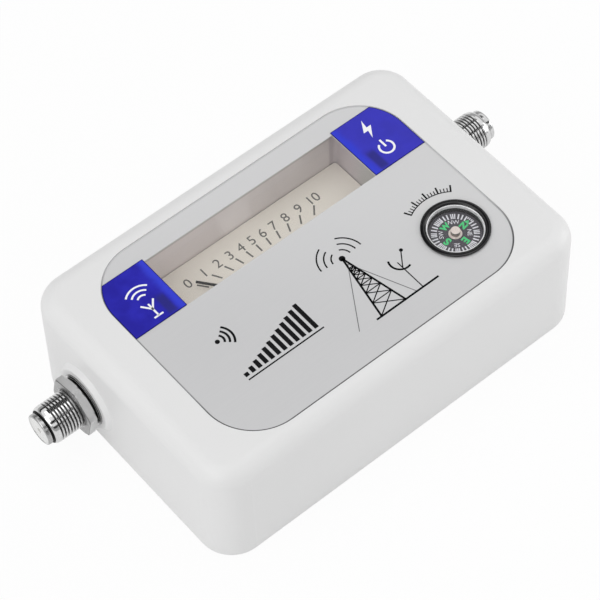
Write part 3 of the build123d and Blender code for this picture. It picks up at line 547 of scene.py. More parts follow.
label_low, label_high = (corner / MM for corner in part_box("face_label"))
label_top = label_high.z
label_middle = ((label_low.x + label_high.x) / 2, (label_low.y + label_high.y) / 2)
label_half = ((label_high.x - label_low.x) / 2, (label_high.y - label_low.y) / 2)
label_corner = 12.5
film_grow = 0.16
film_half = (label_half[0] + film_grow, label_half[1] + film_grow)
film_corner = label_corner + film_grow
gap_shade_width = 0.4
window_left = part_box("antenna_tab")[1].x / MM
window_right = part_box("power_tab")[0].x / MM
window_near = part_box("antenna_tab")[0].y / MM
window_far = 22.99
window = [(window_left, window_near), (window_right, window_near), (window_right, window_far),
          (window_left, window_far)]
compass_middle = (30.0, -14.7)
compass_hole_radius = 7.06
compass_hole = bow(*compass_middle, compass_hole_radius, 0, 357, 120)
film_outlines = [round_corners(label_middle, film_half, film_corner), window, compass_hole]
film = new_piece("label_film", [sheet_with_holes(film_outlines, label_low.z, label_top)], silver_film(),
                 "housing")
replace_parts(film, "face_label")
black_ink = ink("black_ink", (0.005, 0.005, 0.006), (0.014, 0.014, 0.015))
grey_ink = ink("grey_ink", (0.16, 0.16, 0.165), (0.22, 0.22, 0.22))

guy = 0.09
fine = 0.13
bold = 0.24
mast_feet = ((2.6, -21.6), (9.4, -21.6))
mast_head = (6.0, -4.6)
mast_bays = 7
bay_ratio = 0.78
mast_wave_radii = (2.4, 4.0, 5.6)
mast_wave_spread = 32
dish_hub = (17.2, -11.2)
bold_lines = [[foot, mast_head] for foot in mast_feet]
bold_lines += [[(1.2, -21.7), (18.8, -21.7)], bow(15.3, -13.0, 2.6, 150, 290)]
fine_lines = [[(14.4, -21.6), (14.4, -13.2)], [(14.4, -15.0), (17.0, -11.4)]]
shares = 1 - bay_ratio ** np.arange(mast_bays + 1)
for lower, upper in zip(shares[:-1], shares[1:]):
    left, right = (rung(foot, mast_head, lower) for foot in mast_feet)
    left_up, right_up = (rung(foot, mast_head, upper) for foot in mast_feet)
    fine_lines += [[left, right_up], [right, left_up], [left_up, right_up]]
wave_lines = [bow(*mast_head, radius, middle - mast_wave_spread, middle + mast_wave_spread)
              for radius in mast_wave_radii for middle in (35, 145)]
guy_lines = [[(6.0, -6.5), (foot, -21.6)] for foot in (-3.6, 12.6)]
mast = [filled(bow(*mast_head, 0.75, 0, 345), label_top), filled(bow(*dish_hub, 0.45, 0, 345, 20), label_top)]
for lines, half_width in ((bold_lines, bold), (fine_lines, fine), (wave_lines, fine * 1.3)):
    mast += strokes(lines, half_width, label_top)
new_piece("mast_print", mast, black_ink, "housing")
new_piece("mast_guys_print", strokes(guy_lines, guy, label_top), grey_ink, "housing")

bar_left = -29.2
bar_foot = -14.9
bar_pitch = 1.72
bar_count = 12
bar_width = 1.05
bar_lowest = 1.0
bar_rise = 0.62
bar_base = bar_foot - 0.85
base_half_width = 0.17
wave_middle = (-28.2, -3.9)
wave_half_width = 0.26
base_line = [(bar_left, bar_base), (bar_left + bar_pitch * bar_count, bar_base)]
waves = [bow(*wave_middle, radius, -42, 42, 16) for radius in (1.6, 2.7, 3.8)]
level = [carried(base_line, base_half_width, label_top), filled(bow(*wave_middle, 0.55, 0, 345), label_top)]
level += strokes(waves, wave_half_width, label_top)
for step in range(bar_count):
    left = bar_left + step * bar_pitch
    right = left + bar_width
    high = bar_foot + bar_lowest + step * bar_rise
    level.append(filled([(left, bar_foot), (right, bar_foot), (right, high), (left, high)], label_top))
new_piece("level_print", level, black_ink, "housing")

arc_radius = 10.3
arc_half_width = 0.12
arc_start = 119
arc_end = 53
tick_foot = arc_radius + 0.1
tick_count = 17
arc_ticks = [carried(bow(*compass_middle, arc_radius, arc_start, arc_end, 30), arc_half_width, label_top)]
for step, angle in enumerate(np.linspace(arc_start - 1, arc_end + 1, tick_count)):
    reach, half_width = (1.7, 0.2) if step % 4 == 0 else (0.95, arc_half_width)
    ends = [bow(*compass_middle, radius, angle, angle + 1, 2)[0] for radius in (tick_foot, tick_foot + reach)]
    arc_ticks.append(carried(ends, half_width, label_top))
new_piece("bearing_print", arc_ticks, black_ink, "housing")


# The two end tabs: clear film tinted deep blue, stuck over the label's ends, with white printed signs.
# Where the film runs over the window's end there is no silver behind it, and painted light makes it look
# lighter.
def blue_film():
    """Glossy tinted film: deep blue over the silver, a painted sheen lighter towards the right, painted light
    brighter over the meter's ends, painted shade darker over its clip slots, and nearly black along its cut
    edges."""
    material, place = finish("blue_film", {"Roughness": 0.2, "Specular IOR Level": 0.25})
    x, y, _ = place.split()
    wobble = place.cloud(4 * MM, 3)
    inside = (x - window_middle * MM).size() - window_half * MM
    # Painted light: brighter where the film lies over the meter's opening.
    over_meter = 1 - (inside + (wobble - 0.5) * (1.2 * MM)).ramp(0.6 * MM, 2.6 * MM)
    # Painted shade: darker over the clip slots under the film.
    clip_x = 1 - (inside - 3.2 * MM).size().ramp(0.6 * MM, 1.5 * MM)
    clip_y = 1 - (y - 11.0 * MM).size().ramp(2.0 * MM, 3.6 * MM)
    deep = wobble.ramp(0.3, 0.7).blend((0.030, 0.027, 0.46), (0.022, 0.018, 0.36))
    # Painted sheen: the blue turns lighter towards the right.
    deep = (x.ramp(-20 * MM, 30 * MM) * 0.45).blend(deep, (0.075, 0.072, 0.60))
    bright = over_meter.blend(deep, (0.040, 0.055, 0.66))
    clip_slot_shaded = (clip_x * clip_y * 0.7).blend(bright, (0.03, 0.03, 0.16))
    outline = past_outline(x, y, label_middle, label_half, label_corner)
    cut = inside.smaller(y - tab_near * MM).smaller(tab_far * MM - y).smaller(0 - outline)
    return coated(material, (1 - cut.ramp(0.08 * MM, 0.24 * MM)).blend(clip_slot_shaded, (0.008, 0.006, 0.12)),
                  place.cloud(2.5 * MM, 2), 0.01 * MM, 0.16 + (wobble - 0.5) * 0.1)


tab_low, tab_high = (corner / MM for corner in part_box("antenna_tab"))
window_middle = (tab_high.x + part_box("power_tab")[0].x / MM) / 2
window_half = window_middle - tab_high.x
tab_near, tab_far = tab_low.y, tab_high.y
blue = blue_film()
for tab in ("antenna_tab", "power_tab"):
    dress(tab, blue)
white_ink = ink("white_ink", (0.94, 0.94, 0.95), (0.88, 0.88, 0.91))
tab_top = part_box("power_tab")[1].z / MM
stroke = 0.22
aerial_x = -33.4
aerial_foot = 9.6
aerial_lines = [[(aerial_x + 1.2, aerial_foot), (aerial_x - 1.2, aerial_foot)],
                [(aerial_x, aerial_foot), (aerial_x, 13.4)],
                [(aerial_x - 1.7, 13.9), (aerial_x, 11.7), (aerial_x + 1.7, 13.9)]]
aerial_lines += [bow(aerial_x, 14.6, radius, 45, 135, 14) for radius in (1.5, 2.8, 4.1)]
new_piece("aerial_sign", strokes(aerial_lines, stroke, tab_top), white_ink, "housing")
supply_x = 33.6
supply_lines = [bow(supply_x, 12.4, 1.75, 125, 415, 40), [(supply_x, 12.6), (supply_x, 14.9)]]
bolt = [(0.5, 21.8), (-1.4, 18.6), (-0.15, 18.6), (-0.7, 16.4), (1.4, 19.5), (0.15, 19.5)]
supply_sign = strokes(supply_lines, stroke * 1.15, tab_top)
supply_sign.append(filled([(supply_x + across, y) for across, y in bolt], tab_top))
new_piece("supply_sign", supply_sign, white_ink, "housing")


# The meter: a mauve-grey moulded tray under a clear pane, with a cream scale plate half way down it.
# The scale is printed in dark grey from 0 to 10.
def clear_pane(name, share):
    """Clear acrylic: lets most light straight through, with a sheen, hairline scratches and dust."""
    material, place = finish(name, {"Base Color": (0.93, 0.94, 0.94, 1), "Metallic": 0.5, "IOR": 1.49})
    hair = place.stretched(1, 0.05, 1).cloud(0.15 * MM, 2).ramp(0.7, 0.78)
    dust = place.cloud(0.2 * MM, 2).ramp(0.72, 0.8)
    feed(material, "Alpha", share + (hair + dust).smaller(1.0) * 0.05)
    feed(material, "Roughness", 0.03 + hair * 0.2)
    return material


meter_middle_x = -0.5


def cream_paint():
    """Cream stoving paint on a pressed plate, greyed towards its ends by painted shade."""
    material, place = finish("cream_paint", {"Roughness": 0.6, "Specular IOR Level": 0.3})
    x, y, _ = place.split()
    # Painted shade: greyer towards the plate's ends.
    shade = (x - meter_middle_x * MM).size().ramp(20 * MM, 29 * MM) * 0.5
    mottle = place.cloud(0.6 * MM, 3) * 0.3 + place.cloud(12 * MM, 2) * 0.4
    return coated(material, (shade + mottle).blend((1.0, 0.955, 0.865), (0.96, 0.91, 0.825)),
                  place.cloud(0.25 * MM, 3), 0.006 * MM)


def text_piece(name, words, size, top, material, body, weight=0.0):
    """Type set flat on a face at a height: each word has its text, middle, turn in degrees and share of the
    size."""
    parts = []
    for text, x, y, turn, share in words:
        curve = bpy.data.curves.new("type", "FONT")
        curve.body = text
        curve.size = size * share
        curve.align_x = "CENTER"
        curve.align_y = "CENTER"
        curve.offset = weight
        curve.extrude = (ink_proud + ink_sunk) / 2
        letters, faces = read_curve(curve)
        across, up, rise = (letters - (letters.max(0) + letters.min(0)) / 2).T
        cosine, sine = math.cos(math.radians(turn)), math.sin(math.radians(turn))
        placed = [x + across * cosine - up * sine, y + across * sine + up * cosine,
                  rise + top + (ink_proud - ink_sunk) / 2]
        parts.append((np.stack(placed, 1), faces))
    return new_piece(name, parts, material, body)


def mauve_moulding():
    """The tray's mauve plastic, with painted shade that makes it duller to the right, greyer on its end wall,
    and greyer where the pane's edge shades the top of its walls."""
    material, place = finish("mauve_moulding", {"Roughness": 0.45})
    x, y, z = place.split()
    grain = place.cloud(0.5 * MM, 3)
    drift = place.stretched(1, 1, 0.3).cloud(9 * MM, 2)
    mauve = (drift.ramp(0.35, 0.65) * 0.7 + grain * 0.3).blend((0.96, 0.90, 0.895), (0.86, 0.80, 0.795))
    # Painted shade: duller towards the right end of the tray.
    mauve = (x.ramp(-24 * MM, 26 * MM) * 0.6).blend(mauve, (0.66, 0.62, 0.615))
    # Painted shade: the end wall greyer, most at its near end.
    end_wall_shade = y.ramp(13 * MM, 19 * MM).blend((0.50, 0.50, 0.49), (0.56, 0.51, 0.53))
    mauve = x.ramp(26.3 * MM, 27.0 * MM).blend(mauve, end_wall_shade)
    # Painted shade: greyer along the top of the walls, under the pane's edge.
    return coated(material, z.ramp(27.2 * MM, 28.4 * MM).blend(mauve, (0.38, 0.38, 0.37)),
                  grain, 0.01 * MM)


dress("meter_case", mauve_moulding())
dress("meter_cover", clear_pane("meter_pane", 0.05))
dress("scale_plate", cream_paint())
dial_ink = ink("dial_ink", (0.16, 0.155, 0.145), (0.21, 0.205, 0.195))
scale_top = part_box("scale_plate")[1].z / MM
pivot_y = -4.0
sweep_half = 38.0
division = 7.6
tick_near = 15.5
tick_far = 17.7
tick_half_width = 0.2
number_y = 19.35
number_size = 3.55
ticks = []
numbers = []
for step in range(11):
    slope = math.tan(math.radians(step * division - sweep_half))
    ends = [(meter_middle_x + (y - pivot_y) * slope, y) for y in (tick_near, tick_far)]
    ticks.append(carried(ends, tick_half_width, scale_top))
    numbers.append((str(step), meter_middle_x + (number_y - pivot_y) * slope, number_y, 0, 1.0))
new_piece("scale_ticks", ticks, dial_ink, "housing")
text_piece("scale_numbers", numbers, number_size, scale_top, dial_ink, "housing")


# The movement: a coil on jewelled pivots round a magnet, between two brass bridges, with flat
# hairsprings. A black enamelled pointer is pressed on the upper pivot and swings between two pins.
def brass_bar(name, tone=(0.72, 0.53, 0.24), dull=(0.50, 0.34, 0.14), roughness=0.3):
    """Turned or pressed brass with fine tool lines and a little tarnish."""
    material, place = finish(name, {"Metallic": 1.0, "Roughness": roughness})
    tarnish = place.cloud(1.5 * MM, 4).ramp(0.4, 0.75)
    lines = place.stretched(0.15, 1, 1).cloud(0.08 * MM, 2)
    return coated(material, tarnish.blend(tone, dull),
                  lines, 0.003 * MM, roughness + tarnish * 0.2 + (lines - 0.5) * 0.1)


def enamel(name, tone, roughness):
    """Black stoved enamel or polished black moulding with a slight orange peel."""
    material, place = finish(name, {"Roughness": roughness, "IOR": 1.45})
    peel = place.cloud(0.7 * MM, 3)
    lighter = tuple(part * 1.6 + 0.004 for part in tone)
    return coated(material, peel.ramp(0.5, 0.85).blend(tone, lighter),
                  peel, 0.004 * MM, roughness + (peel - 0.5) * 0.1)


def iron(name, tone, dull):
    """Pressed soft iron or sintered magnet: grey, granular, slightly oily."""
    material, place = finish(name, {"Metallic": 0.9, "Roughness": 0.5})
    grain = place.cloud(0.3 * MM, 4)
    return coated(material, grain.blend(tone, dull), grain, 0.008 * MM, 0.42 + grain * 0.2)


wire_pitch = 0.12


def winding():
    """Enamelled copper wire laid side by side round the coil's frame, with painted shade in the crevices
    between turns.
    """
    material, place = finish("winding", {"Metallic": 0.8, "Roughness": 0.35})
    _, _, z = place.split()
    turns = z / (wire_pitch * MM)
    groove = (turns.maths("FRACT", turns) - 0.5).size() * 2
    # Painted shade: darker in the crevices between turns.
    return coated(material, (groove * 0.7).blend((0.70, 0.30, 0.14), (0.25, 0.08, 0.04)),
                  1 - groove, 0.02 * MM)


def ruby():
    """Synthetic ruby, deep pink and polished, with a darker heart."""
    material, place = finish("ruby", {"Roughness": 0.08, "IOR": 1.76})
    feed(material, "Base Color", place.cloud(0.5 * MM, 2).blend((0.55, 0.03, 0.09), (0.30, 0.01, 0.05)))
    feed(material, "Roughness", 0.06 + place.cloud(0.2 * MM, 2) * 0.08)
    return material


brass = brass_bar("brass_bar")
spring_bronze = brass_bar("spring_bronze", (0.62, 0.40, 0.20), (0.40, 0.24, 0.12), 0.25)
soft_iron = iron("soft_iron", (0.42, 0.42, 0.43), (0.30, 0.30, 0.31))
magnet_grey = iron("magnet_grey", (0.20, 0.20, 0.21), (0.13, 0.13, 0.14))
black_enamel = enamel("black_enamel", (0.012, 0.012, 0.013), 0.35)
movement_finishes = {
    "scale_screws": zinc_plate, "meter_screws": zinc_plate, "bridge_screws": zinc_plate,
    "pointer_stops": brass, "lower_bridge": brass, "upper_bridge": brass, "core_supports": brass,
    "meter_terminals": brass, "yoke_ring": soft_iron, "core_magnet": magnet_grey,
    "jewel_bearings": ruby(), "hairsprings": spring_bronze, "moving_coil": winding(),
    "coil_pivots": zinc_plate, "pointer": black_enamel,
}
for node, material in movement_finishes.items():
    dress(node, material)


# The compass: a glossy black bowl let into the face, a bright ring that holds its lens, and a black
# printed card on a brass cup that floats on a steel point. Its main letters are green, the rest white.
def bright_plate(name, tone, roughness):
    """Satin silver plating on a turned ring, with the faintest lathe lines."""
    material, place = finish(name, {"Metallic": 0.4, "Roughness": roughness})
    lathe = place.stretched(1, 1, 4).cloud(0.15 * MM, 2)
    cloudy = place.cloud(2 * MM, 3)
    return coated(material, cloudy.blend(tone, tuple(part * 0.85 for part in tone)),
                  lathe, 0.003 * MM, roughness + (lathe - 0.5) * 0.12)


bezel_wide = 7.8
ring_seat = 29.8
lens_seat = 30.15
lens_top = 30.5
card_under = 28.4
card_top = 28.7
bowl_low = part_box("compass_housing")[0].z / MM


def compass_bowl():
    """The turned outline of the black bowl: floor, wall through the face, and a bead with two bright
    bevels that swells from a narrow foot on the label and rolls over to the lens."""
    bead = [(0, 7.05), (0, 7.5), (0.08, 7.66), (0.18, 7.76), (0.28, bezel_wide), (0.44, bezel_wide),
            (0.53, 7.73), (0.59, 7.5), (0.6, 7.2), (0.57, 6.95), (0.48, 6.75), (0.34, 6.6), (0.2, 6.5)]
    bowl = [(ring_seat, 6.5), (ring_seat, 6.12), (bowl_low + 0.8, 6.12), (bowl_low + 0.8, 0)]
    outline = [(bowl_low, 0), (bowl_low, 7.0)] + [(label_top + rise, radius) for rise, radius in bead] + bowl
    return turned(outline, 120)


def bright_ring():
    """The turned outline of the bright sleeve: it stands on the bowl's step, and its lip clasps the lens."""
    sleeve = [(ring_seat, 6.18), (lens_seat - 0.01, 6.18), (lens_seat - 0.01, 6.46), (lens_top + 0.01, 6.46)]
    lip = [(0.01, 6.26), (0.1, 6.26), (0.15, 6.31), (0.17, 6.4), (0.14, 6.49)]
    lip = [(lens_top + rise, radius) for rise, radius in lip]
    return turned(sleeve + lip + [(ring_seat, 6.49), (ring_seat, 6.18)], 120)


def flat_lens():
    """The turned outline of the flat lens, with a small bevel round its upper edge."""
    bevel = [(lens_top - 0.05, 6.44), (lens_top, 6.39)]
    return turned([(lens_seat, 0), (lens_seat, 6.44)] + bevel + [(lens_top, 0)], 120)


def printed_card():
    """The turned outline of the card: a thin disc with a hole for the cup."""
    hole = [(card_top, 1.12), (card_under, 1.12)]
    return turned([(card_under, 1.12), (card_under, 6.0), (card_top, 6.02)] + hole, 120)


def compass_cup():
    """The turned outline of the cup that carries the card: a conical pit, a flange and a flat top."""
    pit = [(0.5, 0), (0.5, 0.15), (0, 0.5), (card_under - card_top, 0.5), (card_under - card_top, 1.1)]
    flange = [(0, 1.1), (0, 1.5), (0.03, 1.54), (0.09, 1.54), (0.12, 1.5)]
    crown = [(0.12, 1.08), (1.3, 1.06), (1.36, 1.0), (1.36, 0)]
    return turned([(card_top + rise, radius) for rise, radius in pit + flange + crown], 64)


def steel_point():
    """The turned outline of the upright pin, its point in the cup's pit."""
    tip = [(card_top - 0.15, 0.35), (card_top + 0.35, 0.05), (card_top + 0.36, 0)]
    return turned([(bowl_low + 0.81, 0), (bowl_low + 0.81, 0.35)] + tip, 32)


def bar_magnet():
    """A flat bar with rounded ends under the card, pierced for the pin: an outer and an inner outline."""
    turn = np.arange(64) * 2 * np.pi / 64
    outer = np.stack([np.clip(4.6 * np.cos(turn), -3.7, 3.7), np.clip(4.6 * np.sin(turn), -1.1, 1.1)], 1)
    inner = 0.5 * np.stack([np.cos(turn), np.sin(turn)], 1)
    low, high = card_under - 0.8, card_under - 0.01
    rings = [raised(outer, low), raised(outer, high), raised(inner, high), raised(inner, low)]
    return np.concatenate(rings), sheet_faces(4, 64, True, True)


def cup_finish():
    """Satin pink brass on the cup's flat top and flange, polished on the waist between them, which painted
    shade makes dark.
    """
    material, place = finish("cup_brass", {"Metallic": 0.5, "Roughness": 0.42})
    _, _, z = place.split()
    rise = z - card_top * MM
    tarnish = place.cloud(0.5 * MM, 3)
    waist = rise.ramp(0.14 * MM, 0.2 * MM) * (1 - rise.ramp(1.2 * MM, 1.28 * MM))
    satin = tarnish.blend((0.94, 0.84, 0.79), (0.82, 0.72, 0.67))
    # Painted shade: the waist between top and flange is darkened.
    return coated(material, (waist * 0.8).blend(satin, (0.16, 0.13, 0.12)),
                  tarnish, 0.003 * MM, 0.42 - waist * 0.2 + (tarnish - 0.5) * 0.1)


compass_black = enamel("compass_black", (0.006, 0.006, 0.007), 0.16)
ring_plate = bright_plate("ring_bright", (0.92, 0.92, 0.93), 0.4)
lens_pane = clear_pane("compass_pane", 0.04)
card_black = moulded("card_black", (0.055, 0.050, 0.065), (0.080, 0.072, 0.090), 0.6, 0.2 * MM, 0.004 * MM)
compass_pieces = [
    ("compass_bead_bowl", "compass_housing", compass_bowl(), compass_black, "housing", "compass_black"),
    ("compass_bright_ring", "compass_ring", bright_ring(), ring_plate, "housing", "compass_silver"),
    ("compass_flat_lens", "compass_lens", flat_lens(), lens_pane, "housing", "clear_plastic"),
    ("compass_printed_card", "compass_card", printed_card(), card_black, "compass_rose", "card_black"),
    ("compass_turned_cup", "compass_cap", compass_cup(), cup_finish(), "compass_rose", "brass"),
    ("compass_steel_point", "compass_pin", steel_point(), zinc_plate, "housing", "zinc_screw"),
    ("compass_bar_magnet", "compass_magnet", bar_magnet(), magnet_grey, "compass_rose", "magnet_dark"),
]
for name, node, (points, faces), material, body, slot in compass_pieces:
    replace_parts(new_piece(name, [(points + (*compass_middle, 0), faces)], material, body), node)

card_turn = 10.0
card_ink = ink("card_ink", (0.90, 0.90, 0.95), (0.76, 0.76, 0.82))
green_ink = ink("green_ink", (0.10, 0.74, 0.27), (0.07, 0.62, 0.21))


def card_place(radius, bearing):
    """A place on the card at a radius and a bearing in degrees, which runs anticlockwise from its north."""
    return bow(*compass_middle, radius, card_turn + bearing, 0, 1)[0]


tick_out = 5.4
tick_in = 4.05
north_tick_in = 4.9
card_marks = []
for bearing in range(0, 360, 5):
    near_point = min(bearing % 45, 45 - bearing % 45) < 6
    if near_point or bearing % 10 == 0:
        start = north_tick_in if bearing < 6 or bearing > 354 else tick_in
        ends = [card_place(radius, bearing) for radius in (start, tick_out)]
        card_marks.append(carried(ends, 0.13 if near_point else 0.17, card_top))
new_piece("card_ticks", card_marks, card_ink, "compass_rose")
main_letters = []
small_letters = []
main_size = 2.15
small_size = 1.45
letter_weight = 0.1
for index, text in enumerate(["N", "NW", "W", "SW", "S", "SE", "E", "NE"]):
    bearing = index * 45
    letters, radius = (main_letters, 2.85) if len(text) == 1 else (small_letters, 3.15)
    share = {"W": 0.92, "S": 1.22, "E": 1.14}.get(text, 1.0)
    letters.append((text, *card_place(radius, bearing), card_turn + bearing - 90, share))
text_piece("card_main_letters", main_letters, main_size, card_top, green_ink, "compass_rose",
           letter_weight)
text_piece("card_small_letters", small_letters, small_size, card_top, card_ink, "compass_rose")
arrow = [card_place(radius, bearing) for radius, bearing in ((3.85, -9.5), (4.8, 0), (3.85, 9.5))]
new_piece("north_arrow", [filled(arrow, card_top, ink_proud + 0.01)], green_ink, "compass_rose")


# The two sockets: nickel-plated brass barrels with a fine screw thread, a stepped nose and a white
# plug in the bore. Each is clamped to its wall by a thin hexagon nut on a plain washer.
socket_y = 13.6
socket_z = 12.0
thread_pitch = 0.794
thread_crest = 4.68
thread_root = 4.2
thread_start = 53.0
thread_end = 62.1
nut_corner = 44.0
nut_half_flats = 6.35
collar_radius = 5.9
bore = 3.3
block_end = 39.42
flange_start = 47.42
flange_end = 49.42
barrel_start = 52.9
groove_start = 63.4
groove_end = 63.95
nose_start = 64.0
slab_foot = 6.2
slab_bulge = 1.3
slabs = ((flange_start, flange_end, 6.9, 18.9), (block_end, flange_start, 5.5, 17.2))


def nickel(name):
    """Bright nickel, cloudy grey with fine scratches, and a place's distances along and out from its axis."""
    material, place = finish(name, {"Metallic": 1.0, "Roughness": 0.22})
    x, y, z = place.split()
    across, up = y - socket_y * MM, z - socket_z * MM
    cloudy = place.cloud(1.1 * MM, 4)
    scratch = place.stretched(0.2, 1, 1).cloud(0.12 * MM, 2)
    metal = cloudy.blend((0.84, 0.84, 0.84), (0.58, 0.58, 0.58))
    return material, x, (across * across + up * up).root(), cloudy, scratch, metal


def nut_nickel():
    """The nut's satin plating, with painted shade black in the gap behind it, a little darker on its front
    face and in a dark line round its front bevel.
    """
    material, x, out, cloudy, scratch, _ = nickel("nickel_nut")
    x = x.size()
    satin = (cloudy * 0.7 + scratch * 0.3).blend((0.74, 0.74, 0.74), (0.60, 0.60, 0.60))
    # Painted shade: black in the gap between the washer and the nut's back face.
    gap = (1 - (x - nut_back * MM).ramp(-0.03 * MM, 0.05 * MM)) * (x - washer_face * MM).ramp(0.0, 0.06 * MM)
    # Painted shade: the front face a little darker, and a dark line round the bevel behind it.
    face = (x - nut_front * MM).ramp(-0.05 * MM, -0.01 * MM)
    edge = (x - nut_front * MM).ramp(-0.24 * MM, -0.18 * MM) * (1 - face) * out.ramp(6.2 * MM, 6.3 * MM)
    faced = (face * 0.35 + edge * 0.75).blend(satin, (0.10, 0.10, 0.10))
    return coated(material, gap.blend(faced, (0.012, 0.012, 0.012)),
                  scratch, 0.004 * MM, 0.36 + cloudy * 0.12 + (scratch - 0.5) * 0.1 + gap * 0.3)


def washer_nickel():
    """The washer's polished plating, with painted shade dark along the seam against the case, next to the
    nut's collar and in a thin line at its rim.
    """
    material, x, out, cloudy, scratch, metal = nickel("nickel_washer")
    x = x.size()
    # Painted shade: dark along the seam, beside the nut's collar and in a line at the rim.
    seam = 1 - (x - washer_back * MM).ramp(0.06 * MM, 0.11 * MM)
    collar = 1 - out.ramp(collar_radius * MM, 5.96 * MM)
    rim = (out - washer_out * MM).ramp(-0.07 * MM, -0.03 * MM) * 0.6
    return coated(material, seam.bigger(collar).bigger(rim).blend(metal, (0.03, 0.03, 0.03)),
                  scratch, 0.003 * MM, 0.2 + cloudy * 0.1)


def thread_nickel():
    """The barrel's plating, with painted shade dark in the thread's roots and next to the nut. A painted dark
    reflection darkens the groove behind the nose and the nose's edge, fully on the aerial's socket and
    faintly on the power socket."""
    material, x, out, cloudy, scratch, metal = nickel("nickel_thread")
    # Painted dark reflection in the groove and on the nose: full on the aerial socket, a fifth as strong on
    # the power socket.
    dark_reflection_share = 1 - x.ramp(-1 * MM, 1 * MM) * 0.8
    x = x.size()
    # Painted shade in the thread's roots.
    root = (1 - out.ramp(4.32 * MM, 4.68 * MM)) * (1 - x.ramp(62.0 * MM, 62.3 * MM)) * 0.7
    groove = (1 - out.ramp(4.15 * MM, 4.3 * MM)) * (x - groove_start * MM).ramp(0.0, 0.06 * MM)
    groove = groove * (1 - (x - groove_end * MM).ramp(0.0, 0.12 * MM)) * dark_reflection_share
    painted_dark = root.bigger(groove) * out.ramp(3.35 * MM, 3.45 * MM)
    nose = (x - nose_start * MM).ramp(0.0, 0.1 * MM) * out.ramp(3.5 * MM, 3.6 * MM) * dark_reflection_share * 0.35
    # Painted shade on the thread next to the nut.
    corner = (1 - (x - nut_front * MM).ramp(0.1 * MM, 0.9 * MM)) * 0.6
    painted_dark = painted_dark.bigger(nose).bigger(corner)
    return coated(material, painted_dark.blend(metal, (0.015, 0.015, 0.015)),
                  scratch, 0.004 * MM, 0.09 + cloudy * 0.06 + painted_dark * 0.4)


def winding_thread(height, radius, angle):
    """The barrel's radius cut by a sloping groove that climbs one pitch a turn, between two heights."""
    phase = (height / thread_pitch - angle / (2 * np.pi)) % 1
    ridge = np.clip((1 - abs(2 * phase - 1)) * 2.2 - 0.3, 0, 1)
    fade = np.clip((thread_end - height) / 0.5, 0, 1) * np.clip((height - thread_start) / 0.5, 0, 1)
    cut = thread_root + (thread_crest - thread_root) * ridge
    return np.where((radius > thread_root) & (fade > 0), radius + (cut - radius) * fade, radius)


def socket_barrel():
    """The turned outline along the axis, carried round it, with the inner flange and block as plain slabs."""
    steps = np.arange(thread_start, thread_end + 0.01, thread_pitch / 16)
    tail = [(block_end, bore), (block_end, 3.9), (flange_end, 3.9), (flange_end, 4.45), (barrel_start, 4.45)]
    shoulder = [(62.2, 4.64), (62.5, 4.62), (62.9, 4.54), (63.2, 4.4), (groove_start, 4.24), (63.54, 4.06)]
    nose = [(63.6, 3.9), (63.7, 3.82), (nose_start, 3.85), (64.6, 3.85), (64.8, 3.8), (64.93, 3.7)]
    mouth = [(65.0, 3.55), (65.0, 3.4), (64.9, bore), (block_end, bore)]
    outline = tail + [(height, thread_crest) for height in steps] + shoulder + nose + mouth
    points, faces = turned(outline, 96, winding_thread)
    parts = [(np.stack([points[:, 2], points[:, 1] + socket_y, -points[:, 0] + socket_z], 1), faces)]
    turn = np.linspace(0, 2 * np.pi, 49)[:-1]
    for left, right, half_width, high in slabs:
        across = socket_y + np.clip(np.cos(turn) * half_width * slab_bulge, -half_width, half_width)
        up = np.clip(socket_z + np.sin(turn) * (high - socket_z) * slab_bulge, slab_foot, high)
        parts.append(prism(*(np.column_stack([np.full(48, x), across, up]) for x in (left, right))))
    return joined(parts)


def hexagon(height, radius, angle):
    """The nut's radius, no further out than the flat that faces the same way."""
    flat = nut_half_flats / np.cos((angle % (np.pi / 3)) - np.pi / 6)
    return np.minimum(radius, flat)


def socket_nut():
    """A hexagon nut turned about its axis: collar, back face, bevelled corners, front face and bore."""
    corner = nut_half_flats / math.cos(math.pi / 6) + 0.01
    collar = [(washer_face, 4.5), (washer_face, collar_radius), (nut_back, collar_radius)]
    back = [(nut_back, 6.32), (nut_back + 0.05, 6.5), (nut_back + 0.3, corner), (nut_front - 0.22, corner)]
    front = [(nut_front - 0.03, 6.85), (nut_front, 6.8), (nut_front, 5.05), (nut_front - 0.35, 4.5)]
    points, faces = turned(collar + back + front + [(washer_face, 4.5)], 96, hexagon)
    turn = math.radians(nut_corner)
    side, up = points[:, 0], points[:, 1]
    across = side * math.cos(turn) - up * math.sin(turn) + socket_y
    return np.stack([points[:, 2], across, side * math.sin(turn) + up * math.cos(turn) + socket_z], 1), faces


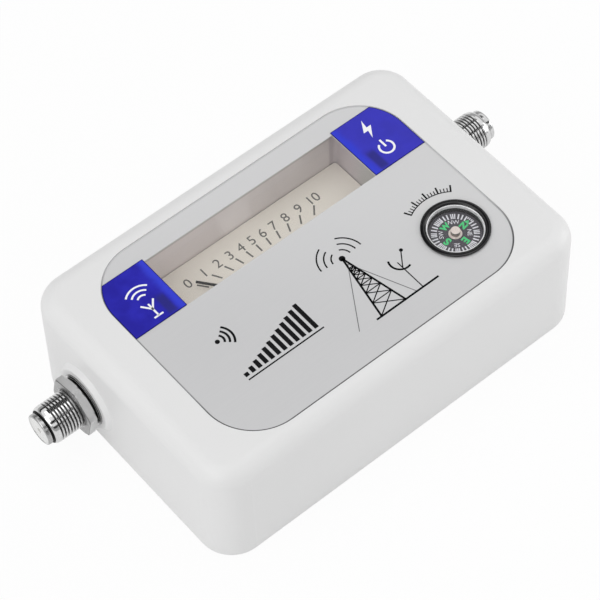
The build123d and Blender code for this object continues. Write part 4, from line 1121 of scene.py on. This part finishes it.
washer_back, washer_face = (corner.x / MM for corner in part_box("power_washer"))
washer_out = (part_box("power_washer")[1].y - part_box("power_washer")[0].y) / MM / 2
nut_rise = 0.15
nut_thickness = 2.25
nut_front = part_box("power_nut")[1].x / MM + nut_rise
nut_back = nut_front - nut_thickness
thread_plate = thread_nickel()
nut_plate = nut_nickel()
washer_plate = washer_nickel()
nut_points, nut_faces = socket_nut()
plug_white = moulded("plug_white", (0.84, 0.84, 0.83), (0.78, 0.78, 0.77), 0.4, 0.3 * MM, 0.006 * MM)
gold = brass_bar("contact_gold", (0.85, 0.62, 0.25), (0.62, 0.42, 0.16), 0.28)
barrel_points, barrel_faces = socket_barrel()
for end, side in (("power", 1), ("antenna", -1)):
    mirrored = [face[::side] for face in barrel_faces]
    barrel = new_piece(f"{end}_threaded_barrel", [(barrel_points * (side, 1, 1), mirrored)], thread_plate,
                       "housing")
    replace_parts(barrel, f"{end}_socket_body")
    nut = new_piece(f"{end}_bevelled_nut", [(nut_points * (side, 1, 1), nut_faces)], nut_plate,
                    "housing")
    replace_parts(nut, f"{end}_nut")
    dress(f"{end}_insulator", plug_white)
    dress(f"{end}_contact", gold)
    dress(f"{end}_washer", washer_plate)


# The circuit board: green laminate on the cover's posts, with a tinplate can over the tuned stage,
# upright capacitors and coils, a trimmer, a regulator and a row of small parts.
track_pitch = 2.1


def laminate():
    """Green lacquered glass laminate with paler copper tracks under the lacquer."""
    material, place = finish("laminate", {"Roughness": 0.35, "Coat Weight": 0.3})
    _, y, _ = place.split()
    line = y / (track_pitch * MM) + place.cloud(9 * MM, 1) * 3
    track = (line.maths("FRACT", line) - 0.5).size()
    copper = 1 - track.ramp(0.1, 0.14)
    weave = place.cloud(0.4 * MM, 2)
    green = weave.blend((0.020, 0.16, 0.055), (0.012, 0.11, 0.040))
    return coated(material, (copper * 0.8).blend(green, (0.05, 0.27, 0.08)),
                  copper + weave * 0.2, 0.03 * MM)


def sleeve():
    """Printed plastic sleeve on a capacitor's can, near black, shrunk a little unevenly."""
    material, place = finish("capacitor_sleeve", {"Roughness": 0.25})
    wrinkle = place.stretched(1, 1, 0.3).cloud(1.2 * MM, 2)
    return coated(material, wrinkle.blend((0.012, 0.014, 0.045), (0.025, 0.028, 0.07)),
                  wrinkle, 0.02 * MM)


board_finishes = {
    "circuit_board": laminate(),
    "board_screws": zinc_plate,
    "shield_can": zinc("tinplate", (0.60, 0.60, 0.58), 0.28),
    "electrolytics": sleeve(),
    "inductors": iron("ferrite", (0.06, 0.055, 0.055), (0.035, 0.033, 0.033)),
    "gain_trimmer": moulded("trimmer_blue", (0.02, 0.06, 0.30), (0.018, 0.05, 0.25), 0.4),
    "chip_parts": moulded("chip_tan", (0.30, 0.22, 0.15), (0.24, 0.17, 0.11), 0.5, 0.15 * MM),
    "amplifier_chip": moulded("chip_black", (0.020, 0.020, 0.021), (0.030, 0.030, 0.032), 0.55, 0.15 * MM),
    "voltage_regulator": moulded("regulator_black", (0.020, 0.020, 0.021), (0.03, 0.03, 0.03), 0.5, 0.2 * MM),
}
for node, material in board_finishes.items():
    dress(node, material)

bpy.context.view_layer.update()
